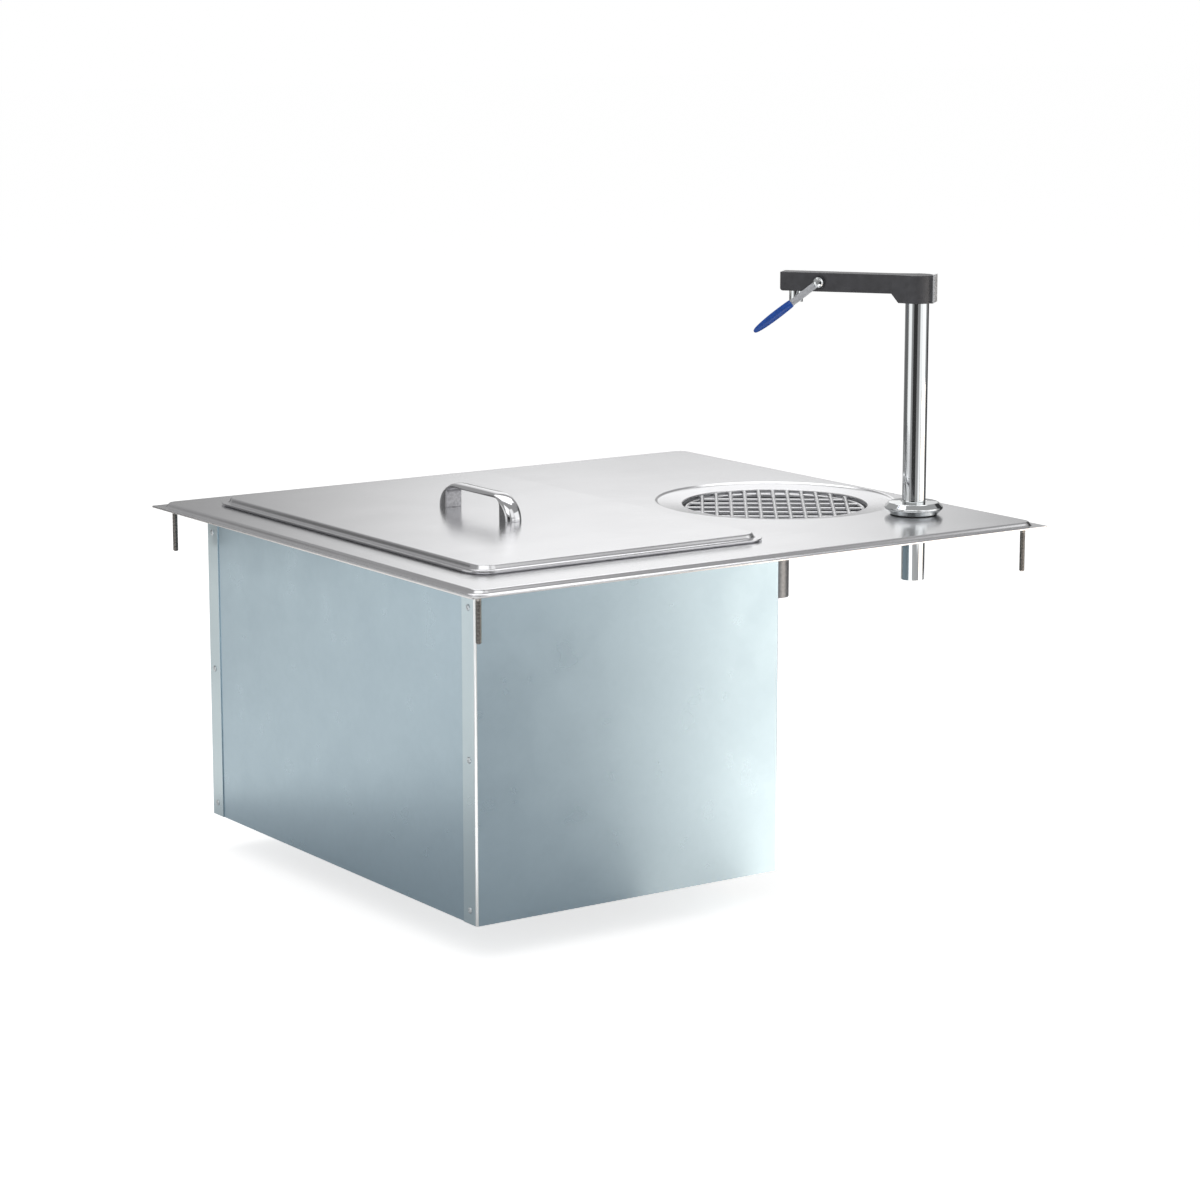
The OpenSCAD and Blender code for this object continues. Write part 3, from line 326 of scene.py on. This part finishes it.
# The finish for each slot of the solids, and for the nodes that differ from their slot
finishOf = {
    "stainless": deckSteel, "liner_steel": linerSteel, "casing_metal": panelSteel, "polished": chromePlate,
    "wire": wireSteel, "fastener_steel": boltSteel, "brass": brass, "seal_rubber": rubber,
    "arm_black": armCoat, "grip_vinyl": gripVinyl, "foam": foam,
}
ownFinish = {
    "lid_handle": handleSteel, "lever_strap": strapSteel, "lever_shaft": chromePlate,
    "bin_drain_strainer": turnedSteel, "basin_drain_strainer": turnedSteel,
    "bin_drain_nipple": pipeSteel, "basin_drain_nipple": pipeSteel, "drip_basin": linerSteel,
    "arm_end_plate": endSteel, "shaft_bushing": bushingSteel, "valve_spring": springSteel,
    "casing_front": paintedHighlightPanelSteel, "casing_back": paintedHighlightPanelSteel,
}
for name, node in nodes.items():
    old = node.data.materials[0].name.split(".")[0] if node.data.materials else "stainless"
    finish = ownFinish.get(name, finishOf.get(old, deckSteel))
    node.data.materials.clear()
    node.data.materials.append(finish)
print("scene: materials done")


# Meshes: sizes below are in millimetres

def made(name, points, faces):
    mesh = bpy.data.meshes.new(name)
    mesh.from_pydata([Vector(p) * mm for p in points], [], faces)
    thing = bpy.data.objects.new(name, mesh)
    scene.collection.objects.link(thing)
    return thing


# A skin over closed rings of equal counts, with flat ends
def lofted(name, rings):
    count, last = len(rings[0]), len(rings) - 1
    faces = []
    for r in range(last):
        for k in range(count):
            here, beside = r * count + k, r * count + (k + 1) % count
            faces.append((here, beside, beside + count, here + count))
    faces += [tuple(range(count))[::-1], tuple(range(last * count, (last + 1) * count))]
    return made(name, [p for ring in rings for p in ring], faces)


# A turned piece about the Z axis from a list of (radius, height)
def turned(name, profile, steps):
    angles = [2 * math.pi * k / steps for k in range(steps)]
    return lofted(name, [[(r * math.cos(a), r * math.sin(a), z) for a in angles] for r, z in profile])


# Modifiers become a plain mesh
def plain(thing):
    graph = bpy.context.evaluated_depsgraph_get()
    thing.data = bpy.data.meshes.new_from_object(thing.evaluated_get(graph))
    thing.data.name = thing.name
    thing.modifiers.clear()
    return thing


def softened(thing, levels):
    soft = thing.modifiers.new("soft", "SUBSURF")
    soft.levels = soft.render_levels = levels
    return plain(thing)


def outward(thing):
    shape = bmesh.new()
    shape.from_mesh(thing.data)
    bmesh.ops.remove_doubles(shape, verts=shape.verts, dist=weldDistance * mm)
    bmesh.ops.recalc_face_normals(shape, faces=shape.faces)
    shape.to_mesh(thing.data)
    shape.free()


def joined(name, things):
    shape = bmesh.new()
    for thing in things:
        shape.from_mesh(thing.data)
        bpy.data.objects.remove(thing)
    mesh = bpy.data.meshes.new(name)
    shape.to_mesh(mesh)
    shape.free()
    whole = bpy.data.objects.new(name, mesh)
    scene.collection.objects.link(whole)
    return whole


# Finish, smooth shading up to the sharp angle, the body, and the nodes that the piece stands for, which it
# hides; the slot name is not used
def dressed(thing, finish, body, slotName, *stands):
    thing.data.materials.clear()
    thing.data.materials.append(finish)
    for face in thing.data.polygons:
        face.use_smooth = True
    thing.data.set_sharp_from_angle(angle=math.radians(sharpAngle))
    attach(thing, body)
    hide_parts(*stands)
    return thing


# Geometry node trees: named sizes in, one plain mesh out

def newTree(name, sizes):
    kinds = {int: "NodeSocketInt", float: "NodeSocketFloat", tuple: "NodeSocketVector"}
    tree = bpy.data.node_groups.new(name, "GeometryNodeTree")
    tree.interface.new_socket("Geometry", in_out="OUTPUT", socket_type="NodeSocketGeometry")
    for key, value in sizes.items():
        tree.interface.new_socket(key, in_out="INPUT", socket_type=kinds.get(type(value), "NodeSocketObject"))
    return tree, tree.nodes.new("NodeGroupInput").outputs


def realized(tree, geometry):
    return add(tree, "GeometryNodeRealizeInstances", {"Geometry": geometry}).outputs[0]


def grown(name, tree, geometry, sizes, finish):
    painted = add(tree, "GeometryNodeSetMaterial", {"Geometry": realized(tree, geometry), "Material": finish})
    add(tree, "NodeGroupOutput", {"Geometry": painted.outputs[0]})
    thing = made(name, [], [])
    grower = thing.modifiers.new("grower", "NODES")
    grower.node_group = tree
    for socket in tree.interface.items_tree:
        if socket.in_out == "INPUT":
            grower[socket.identifier] = sizes[socket.name]
    return plain(thing)


def sourceOf(tree, given):
    return add(tree, "GeometryNodeObjectInfo", {"Object": given["Source"]}).outputs["Geometry"]


def moved(tree, geometry, by=(0, 0, 0), turn=(0, 0, 0)):
    return add(tree, "GeometryNodeTransform",
               {"Geometry": geometry, "Translation": by, "Rotation": turn}).outputs[0]


def gathered(tree, parts):
    group = add(tree, "GeometryNodeJoinGeometry")
    for part in parts:
        tree.links.new(part, group.inputs[0])
    return group.outputs[0]


def placedOn(tree, points, instance, **settings):
    return add(tree, "GeometryNodeInstanceOnPoints",
               dict({"Points": points, "Instance": instance}, **settings)).outputs[0]


# Points at the four corners of the plan
def cornersOf(tree, given):
    return add(tree, "GeometryNodeMeshGrid", {"Size X": given["Plan X"], "Size Y": given["Plan Y"],
               "Vertices X": 2, "Vertices Y": 2}).outputs["Mesh"]


def rowOf(tree, count, start, step):
    return add(tree, "GeometryNodeMeshLine", {"Count": count, "Start Location": start, "Offset": step},
               mode="OFFSET").outputs[0]


def helixOf(tree, turns, radius, height, steps):
    return add(tree, "GeometryNodeCurveSpiral", {"Resolution": steps, "Rotations": turns,
               "Start Radius": radius, "End Radius": radius, "Height": height}).outputs[0]


def tubed(tree, curve, radius, sides):
    section = add(tree, "GeometryNodeCurvePrimitiveCircle", {"Resolution": sides, "Radius": radius})
    return add(tree, "GeometryNodeCurveToMesh", {"Curve": curve, "Profile Curve": section.outputs[0],
               "Fill Caps": True}).outputs[0]


def pointX(tree):
    return partsOf(tree, add(tree, "GeometryNodeInputPosition").outputs[0])["X"]


# Lid handle: one bent strap with a crowned outer face, slanted legs on wide feet and soft edges

handleSizes = {"centre": (binCentre[0], 19.0, 13.6), "length": 140.0, "height": 28.0, "width": 20.0,
               "bend": 27.0, "run": 33.0, "gap": 105.0, "bar": 4.6, "gapBend": 8.0, "soft": 4.6,
               "stud": 2.5, "studs": (69.5, -45.5)}


# Pairs of an outer and an inner point along the strap, from foot to foot
def handlePath(sizes):
    end, top = sizes["length"] / 2, sizes["height"]
    gap, low = sizes["gap"] / 2, sizes["height"] - sizes["bar"]
    bend, inBend = sizes["bend"], sizes["gapBend"]
    side = [((end, z), (gap, z)) for z in (-0.3, 0.15, top - bend)]
    for k in range(1, 13):
        a = math.radians(7.5 * k)
        outer = (end - sizes["run"] * (1 - math.cos(a)), top - bend + bend * math.sin(a))
        if k <= 6:
            inner = (gap, top - bend + (low - inBend - top + bend) * k / 6)
        else:
            b = math.radians(15 * (k - 6))
            inner = (gap - inBend * (1 - math.cos(b)), low - inBend * (1 - math.sin(b)))
        side.append((outer, inner))
    side += [((y, top), (y * (gap - inBend) / (end - sizes["run"]), low)) for y in (24.0, 12.0)]
    return side + [((0.0, top), (0.0, low))] + [((-o[0], o[1]), (-i[0], i[1])) for o, i in side[::-1]]


# The strap's section between an outer and an inner point: crowned outside, nearly flat inside
def handleRing(sizes, outer, inner):
    out, into = Vector(outer), Vector(inner)
    thick = (out - into).length
    down = (into - out) / thick
    edge = min(sizes["soft"], 0.8 * thick)
    w = sizes["width"] / 2
    crown = [(0, 0), (0.3, 0.04), (0.56, 0.15), (0.78, 0.38), (0.93, 0.72)]
    half = [(x * w, d * edge) for x, d in crown]
    half += [(w, edge + 0.02 * thick), (w, thick - 0.16 * edge), (0.985 * w, thick - 0.05 * edge),
             (0.93 * w, thick)]
    loop = half + [(0, thick)] + [(-x, d) for x, d in half[:0:-1]]
    cx, cy, cz = sizes["centre"]
    return [(cx + x, cy + out.x + down.x * d, cz + out.y + down.y * d) for x, d in loop]


def makeHandle(sizes):
    strap = lofted("handle_strap", [handleRing(sizes, o, i) for o, i in handlePath(sizes)])
    softened(strap, 2)
    outward(strap)
    x, y, z = sizes["centre"]
    r = sizes["stud"]
    parts = [strap]
    ribs = [(r - 0.3 * (k % 2), -7.0 + 0.4 * k) for k in range(15)]
    for along in sizes["studs"]:
        stud = turned("handle_stud", [(r - 0.6, -7.5)] + ribs + [(r, -1.0), (r, -0.2)], 24)
        stud.data.transform(Matrix.Translation(Vector((x, along, z)) * mm))
        outward(stud)
        parts.append(stud)
    handle = dressed(joined("lid_handle_strap", parts), handleSteel, "lid", "polished", "lid_handle")
    # The faces that look into the handle's opening get a darker, rougher, mottled finish
    handle.data.materials.append(handleInside)
    reach, under = sizes["gap"] / 2 + 0.4, sizes["height"] - sizes["bar"] + 0.4
    for face in handle.data.polygons:
        spot, facing = face.center / mm, face.normal
        side = spot.y - y
        if spot.z - z < under and abs(side) < reach and facing.y * side <= 0.001 and abs(facing.x) < 0.5:
            face.material_index = 1


makeHandle(handleSizes)


# Foam that rose into the relief slot beside the front corner's fold; a gap stays on its right

slotSizes = {"x": (-314.1, -310.6), "y": (-262.55, -261.2), "z": (-66.4, -3.2), "bulge": 0.12, "round": 0.35,
             "steps": 14}


def makeSlotFoam(sizes):
    (x0, x1), (front, back), (low, high) = sizes["x"], sizes["y"], sizes["z"]
    bulge, steps = sizes["bulge"], sizes["steps"]
    rings = []
    for k in range(steps + 1):
        z = low + (high - low) * k / steps
        end = sizes["round"] if k in (0, steps) else 0.0
        face = front + bulge * (1 + math.sin(1.9 * k)) / 2 + end
        side = x1 - bulge * (1 + math.sin(2.7 * k + 1)) - end
        rings.append([(x0 + end, back, z), (x0 + end, face + sizes["round"], z), (x0 + 0.3 + end, face, z),
                      ((x0 + x1) / 2, face - 0.02, z), (side - 0.45, face + 0.03, z), (side, face + 0.4, z),
                      (side, back, z)])
    bead = lofted("slot_foam_bead", rings)
    softened(bead, 1)
    outward(bead)
    dressed(bead, foam, "bin", "foam")


makeSlotFoam(slotSizes)


# The lever's own frame: at its shaft in the arm, X along the strap

# The shaft's place from the post's foot: along the arm, beside it and up
leverShaft = (105.0, 13.85, 253.5)
post = Vector((*postPlace, 0.0))
armTurn = Matrix.Rotation(math.radians(armAngle), 4, "Z")
leverPlace = (Matrix.Translation(post) @ armTurn @ Matrix.Translation(leverShaft)
              @ Matrix.Rotation(math.radians(leverDrop), 4, "Y"))

# Grip: vinyl skin dipped over the strap, fullest in the middle, with a drip hole in its tip.
# Stations are (share of the length, half width, half height), the hole is (radius, depth)

gripSizes = {"start": 37.0, "end": 89.5, "stations": [(0.0, 4.0, 2.3), (0.03, 4.4, 2.8), (0.12, 4.6, 3.2),
             (0.35, 4.9, 3.5), (0.58, 4.7, 3.4), (0.75, 4.2, 3.1), (0.88, 3.5, 2.7), (0.96, 2.7, 2.2),
             (1.0, 1.6, 1.4)], "hole": (0.9, 5.0), "sides": 24}


def makeGrip(sizes):
    start, end = sizes["start"], sizes["end"]
    hole, deep = sizes["hole"]
    mouth = [(start + 0.6, 1.2, 1.0), (start + 0.1, 3.5, 1.9)]
    skin = [(start + (end - start) * t, w, h) for t, w, h in sizes["stations"]]
    tip = [(end - 0.1, hole * 1.25, hole * 1.2), (end - 0.9, hole, hole), (end - deep, hole, hole)]
    angles = [2 * math.pi * k / sizes["sides"] for k in range(sizes["sides"])]
    grip = lofted("lever_grip_skin", [[leverPlace @ Vector((x, h * math.sin(a), w * math.cos(a)))
                  for a in angles] for x, w, h in mouth + skin + tip])
    softened(grip, 1)
    outward(grip)
    dressed(grip, gripVinyl, "lever", "grip_vinyl", "lever_grip")


makeGrip(gripSizes)


# Blind rivets: a domed head with the snapped mandrel in its middle, in columns on both side panels

rivetSizes = {"plan": (371.4, 525.4), "top": -25.0, "step": -152.6, "count": 3, "head": 3.3, "rise": 1.2,
              "shank": 1.6, "depth": -3.2}


def makeRivets(sizes):
    r, h, s = sizes["head"], sizes["rise"], sizes["shank"]
    dome = [(1.0, 0.25), (0.9, 0.55), (0.7, 0.85), (0.52, 1.0), (0.4, 0.97), (0.36, 0.6), (0.34, 0.45),
            (0.28, 0.6), (0.1, 0.7)]
    head = [(a * r, b * h) for a, b in dome]
    one = turned("rivet_one", [(s, sizes["depth"]), (s, 0.0), (r, 0.0)] + head, 24)
    one.data.transform(Matrix.Rotation(math.radians(90), 4, "Y"))
    outward(one)
    values = {"Source": one, "Plan X": sizes["plan"][0] * mm, "Plan Y": sizes["plan"][1] * mm,
              "Start": (binCentre[0] * mm, binCentre[1] * mm, sizes["top"] * mm),
              "Step": (0.0, 0.0, sizes["step"] * mm), "Count": sizes["count"]}
    tree, given = newTree("rivet_columns", values)
    # Heads on the left side are turned half round
    turn = vectorOf(tree, z=mathOf(tree, "MULTIPLY", mathOf(tree, "LESS_THAN", pointX(tree), 0.0), math.pi))
    level = realized(tree, placedOn(tree, cornersOf(tree, given), sourceOf(tree, given), Rotation=turn))
    columns = placedOn(tree, rowOf(tree, given["Count"], given["Start"], given["Step"]), level)
    rivets = grown("casing_rivet_heads", tree, columns, values, rivetSteel)
    bpy.data.objects.remove(one)
    dressed(rivets, rivetSteel, "bin", "fastener_steel", "casing_rivets")


makeRivets(rivetSizes)


# Hold-down studs: weld collar, plain neck and a rolled thread

studSizes = {"plan": (686.0, 622.0), "tip": -48.0, "root": 4.5, "radius": 3.0, "collar": 3.8, "pitch": 1.0,
             "neck": -6.0, "crest": 0.34}


def makeStuds(sizes):
    r, tip, neck = sizes["radius"], sizes["tip"], sizes["neck"]
    core = turned("stud_core", [(r - 1.1, tip), (r - 0.5, tip + 0.8), (r - 0.5, neck), (r - 0.05, neck + 0.6),
                  (r - 0.05, 1.5), (sizes["collar"], 1.6), (sizes["collar"], sizes["root"])], 32)
    outward(core)
    length = neck - tip - 1.0
    values = {"Source": core, "Plan X": sizes["plan"][0] * mm, "Plan Y": sizes["plan"][1] * mm,
              "Turns": length / sizes["pitch"], "Thread radius": (r - 0.36) * mm,
              "Thread length": length * mm, "Thread bottom": (0.0, 0.0, (tip + 0.9) * mm),
              "Crest": sizes["crest"] * mm}
    tree, given = newTree("threaded_studs", values)
    helix = helixOf(tree, given["Turns"], given["Thread radius"], given["Thread length"], 24)
    thread = moved(tree, tubed(tree, helix, given["Crest"], 4), by=given["Thread bottom"])
    stud = gathered(tree, [sourceOf(tree, given), thread])
    studs = grown("hold_down_stud_threads", tree, placedOn(tree, cornersOf(tree, given), stud), values,
                  studSteel)
    bpy.data.objects.remove(core)
    dressed(studs, studSteel, "bin", "fastener_steel", "hold_down_studs")


makeStuds(studSizes)


# Grate: drawn wires welded to a ring, with a small bead at each weld

grateSizes = {"centre": (212.5, -47.5), "turn": -36.0, "ringRadius": 98.0, "ringWire": 2.5, "ringZ": -4.3,
              "bar": 2.0, "barCount": 11, "barPitch": 16.0, "barZ": -0.6,
              "cross": 1.5, "crossCount": 5, "crossPitch": 29.0, "crossZ": -3.5}


# Parallel wires across the ring, each as long as its chord, with a bead at both ends
def wiresAcross(tree, given, kind):
    radius, pitch = given[kind + " radius"], given[kind + " pitch"]
    span = mathOf(tree, "MULTIPLY", pitch, mathOf(tree, "SUBTRACT", given[kind + " count"], 1.0))
    start = vectorOf(tree, mathOf(tree, "MULTIPLY", span, -0.5), 0.0, given[kind + " height"])
    row = rowOf(tree, given[kind + " count"], start, vectorOf(tree, pitch))
    across = pointX(tree)
    square = mathOf(tree, "MULTIPLY", given["Ring radius"], given["Ring radius"])
    chord = mathOf(tree, "SQRT", mathOf(tree, "SUBTRACT", square, mathOf(tree, "MULTIPLY", across, across)))
    rod = add(tree, "GeometryNodeMeshCylinder", {"Vertices": 20, "Side Segments": 1, "Depth": 2.0,
              "Radius": radius}).outputs["Mesh"]
    lying = moved(tree, rod, turn=(math.radians(90), 0, 0))
    bead = add(tree, "GeometryNodeMeshIcoSphere", {"Radius": mathOf(tree, "MULTIPLY", radius, 1.15),
               "Subdivisions": 3}).outputs["Mesh"]
    parts = [placedOn(tree, row, lying, Scale=vectorOf(tree, 1.0, chord, 1.0))]
    for side in (-1.0, 1.0):
        ends = add(tree, "GeometryNodeSetPosition", {"Geometry": row, "Offset":
                   vectorOf(tree, 0.0, mathOf(tree, "MULTIPLY", chord, side), 0.0)}).outputs[0]
        parts.append(placedOn(tree, ends, bead, Scale=(1.25, 1.0, 0.9)))
    return gathered(tree, parts)


def makeGrate(sizes):
    values = {"Ring radius": sizes["ringRadius"] * mm, "Ring wire": sizes["ringWire"] * mm,
              "Centre": (sizes["centre"][0] * mm, sizes["centre"][1] * mm, 0.0),
              "Turn": (0.0, 0.0, math.radians(sizes["turn"]))}
    for kind in ("bar", "cross"):
        values.update({kind + " radius": sizes[kind] * mm, kind + " count": sizes[kind + "Count"],
                       kind + " pitch": sizes[kind + "Pitch"] * mm, kind + " height": sizes[kind + "Z"] * mm})
    tree, given = newTree("wire_grate", values)
    circle = add(tree, "GeometryNodeCurvePrimitiveCircle",
                 {"Resolution": 160, "Radius": given["Ring radius"]}).outputs[0]
    ring = moved(tree, tubed(tree, circle, given["Ring wire"], 16), by=(0, 0, sizes["ringZ"] * mm))
    crosses = moved(tree, wiresAcross(tree, given, "cross"), turn=(0, 0, math.radians(90)))
    wires = gathered(tree, [ring, wiresAcross(tree, given, "bar"), crosses])
    placed = moved(tree, wires, turn=given["Turn"], by=given["Centre"])
    grate = grown("drain_grate_wires", tree, placed, values, wireSteel)
    dressed(grate, wireSteel, "grate", "wire", "drain_grate")


makeGrate(grateSizes)


# Valve spring: hard drawn wire in one smooth coil, as long and as wide as its solid

springSizes = {"turns": 5.0, "wire": 0.5}


def makeSpring(sizes):
    low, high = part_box("valve_spring")
    wire = sizes["wire"] * mm
    heading = Vector((math.cos(math.radians(armAngle)), math.sin(math.radians(armAngle)), 0))
    reach = [(v.co - post * mm).dot(heading) for v in nodes["valve_spring"].data.vertices]
    start = post * mm + heading * (min(reach) + wire) + Vector((0, 0, (low.z + high.z) / 2))
    values = {"Turns": sizes["turns"], "Coil radius": (high.z - low.z) / 2 - wire,
              "Length": max(reach) - min(reach) - 2 * wire, "Wire": wire, "Start": tuple(start),
              "Turn": (math.radians(90), 0.0, math.radians(armAngle + 90))}
    tree, given = newTree("spring_coil", values)
    coil = helixOf(tree, given["Turns"], given["Coil radius"], given["Length"], 40)
    placed = moved(tree, tubed(tree, coil, given["Wire"], 12), turn=given["Turn"], by=given["Start"])
    spring = grown("valve_spring_coil", tree, placed, values, springSteel)
    outward(spring)
    dressed(spring, springSteel, "valve", "fastener_steel", "valve_spring")


makeSpring(springSizes)
print("scene: pieces done")


# Camera, found from the photograph's edges; its angles are degrees below the level and round from Y

cameraValues = {"lens": 101.51, "sensor": 36, "place": (-2.0372, -2.9841, 0.5987), "down": 10.813,
                "turn": 34.463, "far": 200}


def makeCamera(values):
    data = bpy.data.cameras.new("photo_camera")
    data.sensor_width = values["sensor"]
    data.lens = values["lens"]
    data.clip_end = values["far"]
    camera = bpy.data.objects.new("photo_camera", data)
    scene.collection.objects.link(camera)
    camera.location = values["place"]
    camera.rotation_euler = (math.radians(90 - values["down"]), 0, -math.radians(values["turn"]))
    scene.camera = camera


makeCamera(cameraValues)


# Studio: pale floor, white to the camera, with lamps and with cards that only reflections see.
# Sizes and places are in metres from here on

floorValues = {"colour": "#dedede", "roughness": 0.9, "cameraGlow": 0.72, "size": 40.0, "drop": 0.3826}
worldValues = {"strength": 0.38, "cameraStrength": 1.0}


def flatSheet(name, width, height, z=0.0):
    w, h = width / 2, height / 2
    mesh = bpy.data.meshes.new(name)
    mesh.from_pydata([(-w, -h, z), (w, -h, z), (w, h, z), (-w, h, z)], [], [(0, 1, 2, 3)])
    thing = bpy.data.objects.new(name, mesh)
    scene.collection.objects.link(thing)
    return thing


def makeFloor(values):
    floor = flatSheet("studio_floor", values["size"], values["size"], -values["drop"])
    material, tree, shader = newMaterial("studio_floor_pale")
    shader.inputs["Base Color"].default_value = linear(values["colour"])
    shader.inputs["Roughness"].default_value = values["roughness"]
    shader.inputs["Specular IOR Level"].default_value = 0.0
    shader.inputs["Emission Color"].default_value = (1, 1, 1, 1)
    seen = add(tree, "ShaderNodeLightPath").outputs["Is Camera Ray"]
    tree.links.new(mathOf(tree, "MULTIPLY", seen, values["cameraGlow"]), shader.inputs["Emission Strength"])
    floor.data.materials.append(material)


def makeWorld(values):
    world = bpy.data.worlds.new("studio_world")
    scene.world = world
    world.use_nodes = True
    tree = world.node_tree
    back = tree.nodes["Background"]
    back.inputs["Color"].default_value = (1, 1, 1, 1)
    seen = add(tree, "ShaderNodeLightPath").outputs["Is Camera Ray"]
    mixed = add(tree, "ShaderNodeMapRange", {"Value": seen, "To Min": values["strength"],
                "To Max": values["cameraStrength"]})
    tree.links.new(mixed.outputs["Result"], back.inputs["Strength"])


makeFloor(floorValues)
makeWorld(worldValues)


def aimed(thing, place, target):
    thing.location = place
    thing.rotation_euler = (Vector(target) - Vector(place)).to_track_quat("-Z", "Y").to_euler()


def softbox(name, place, target, size, power, tint="#ffffff"):
    data = bpy.data.lights.new(name, "AREA")
    data.shape = "RECTANGLE"
    data.size, data.size_y = size
    data.energy = power
    data.color = linear(tint)[:3]
    lamp = bpy.data.objects.new(name, data)
    scene.collection.objects.link(lamp)
    aimed(lamp, place, target)
    lamp.visible_camera = False
    return lamp


# A lamp that lies on the floor and shines up: its corner, the way it runs in degrees from -Y, its size
def floorCard(name, start, heading, size, power, tint="#ffffff"):
    lamp = softbox(name, (0, 0, 0), (0, 0, 1), size, power, tint)
    along = Vector((math.sin(math.radians(heading)), -math.cos(math.radians(heading)), 0))
    across = Vector((-along.y, along.x, 0))
    middle = Vector((start[0], start[1], 0)) + along * (size[1] / 2) + across * (size[0] / 2)
    lamp.location = (middle.x, middle.y, -floorValues["drop"] + 0.002)
    lamp.rotation_euler = Matrix((across, -along, Vector((0, 0, -1)))).transposed().to_euler()


# A card that only reflections see: bright, with sides that fade over a soft width, or dark as a flag
def card(name, place, target, size, glow, soft=0.0):
    thing = flatSheet(name, *size)
    aimed(thing, place, target)
    material = bpy.data.materials.new(name)
    material.use_nodes = True
    tree = material.node_tree
    tree.nodes.clear()
    shade = add(tree, "ShaderNodeEmission", {"Color": (1, 1, 1, 1), "Strength": glow}).outputs[0]
    if soft:
        side = size[0] / 2
        across = mathOf(tree, "ABSOLUTE", partsOf(tree, objectPlace(tree))["X"])
        fade = add(tree, "ShaderNodeMapRange", {"Value": across, "From Min": side - soft, "From Max": side,
                   "To Min": 1.0, "To Max": 0.0}, interpolation_type="SMOOTHSTEP")
        clear = add(tree, "ShaderNodeBsdfTransparent")
        shade = add(tree, "ShaderNodeMixShader", {0: fade.outputs["Result"], 1: clear.outputs[0],
                    2: shade}).outputs[0]
    add(tree, "ShaderNodeOutputMaterial", {"Surface": shade})
    thing.data.materials.append(material)
    thing.visible_camera = False
    thing.visible_diffuse = False
    thing.visible_shadow = False


# The level direction to the camera, and the one to its right
towardsCamera = Vector((-0.566, -0.824))
rightOfCamera = Vector((0.824, -0.566))


# Places round the object as the camera sees them: 0 degrees is towards the camera, 90 to its right
def around(angle, distance, height, centre=(0.1, 0.0)):
    a = math.radians(angle)
    spot = Vector(centre) + (towardsCamera * math.cos(a) + rightOfCamera * math.sin(a)) * distance
    return (spot.x, spot.y, height)


postSpot = (postPlace[0] * mm, postPlace[1] * mm)
warm, warmer = "#fff8ef", "#fff1e2"

# General light on the lid and the deck
softbox("top_softbox", (0.6, 0.8, 2.4), (0.5, 0.6, 0), (2.7, 2.1), 26)
softbox("front_softbox", around(-12, 1.8, 1.6), (0.0, -0.1, 0.0), (2.2, 1.6), 12)

# The casing's left panel, its front panel that brightens to the right, and the bend between them
softbox("left_softbox", around(-111, 1.5, -0.08), (-0.2, 0.1, -0.15), (1.3, 0.5), 0.85, warm)
floorCard("left_floor", (-0.306, 0.537), 214, (0.62, 1.7), 1.55, warm)
softbox("right_softbox", (0.98, -0.985, -0.18), (0.0, -0.26, -0.18), (0.9, 0.4), 2.4, warmer)
floorCard("right_floor", (-0.09, -0.30), 33, (0.64, 0.95), 1.42, warmer)
floorCard("right_floor_far", (0.01, -0.24), 34, (0.55, 1.35), 2.8, warmer)
floorCard("corner_floor", (-0.85, 0.0), -54, (1.05, 1.7), 5.6)

# The sheen along the lid and the deck, and the slopes round them
card("back_glow", around(179.3, 2.6, 1.0), (0.1, 0.0, 0.1), (1.94, 1.25), 1.2, 0.8)
card("band_glow", (1.05, 0.32, 1.65), (-0.1, -0.28, 0.0), (0.7, 0.6), 2.2, 0.1)
card("front_upper", around(42, 1.5, 0.9), (0.0, -0.1, 0.0), (1.0, 1.3), 1.15, 0.25)
card("right_upper", around(72, 1.25, 0.36), (0.0, -0.1, 0.1), (0.95, 0.75), 1.25, 0.1)
card("flag_side", around(-100, 1.6, 0.38), (-0.1, 0.0, 0.1), (0.7, 0.45), 0.14)

# Light and dark bands on the post
card("post_left", around(-70, 1.3, 0.0, postSpot), (0.28, -0.2, 0.0), (1.0, 0.5), 1.1, 0.2)
card("post_right", around(40, 1.5, -0.04, postSpot), (0.28, -0.2, 0.0), (0.75, 0.5), 1.1, 0.2)
card("flag_camera", around(-16, 1.6, 0.08, postSpot), (0.1, 0.0, 0.08), (1.1, 0.64), 0.04)
card("flag_right", around(126, 1.5, 0.3), (0.1, 0.0, 0.3), (0.8, 1.2), 0.05)
card("flag_left", (-0.33, 1.0, 0.0), (*postSpot, 0.0), (1.3, 0.24), 0.15)
print("scene: studio done")
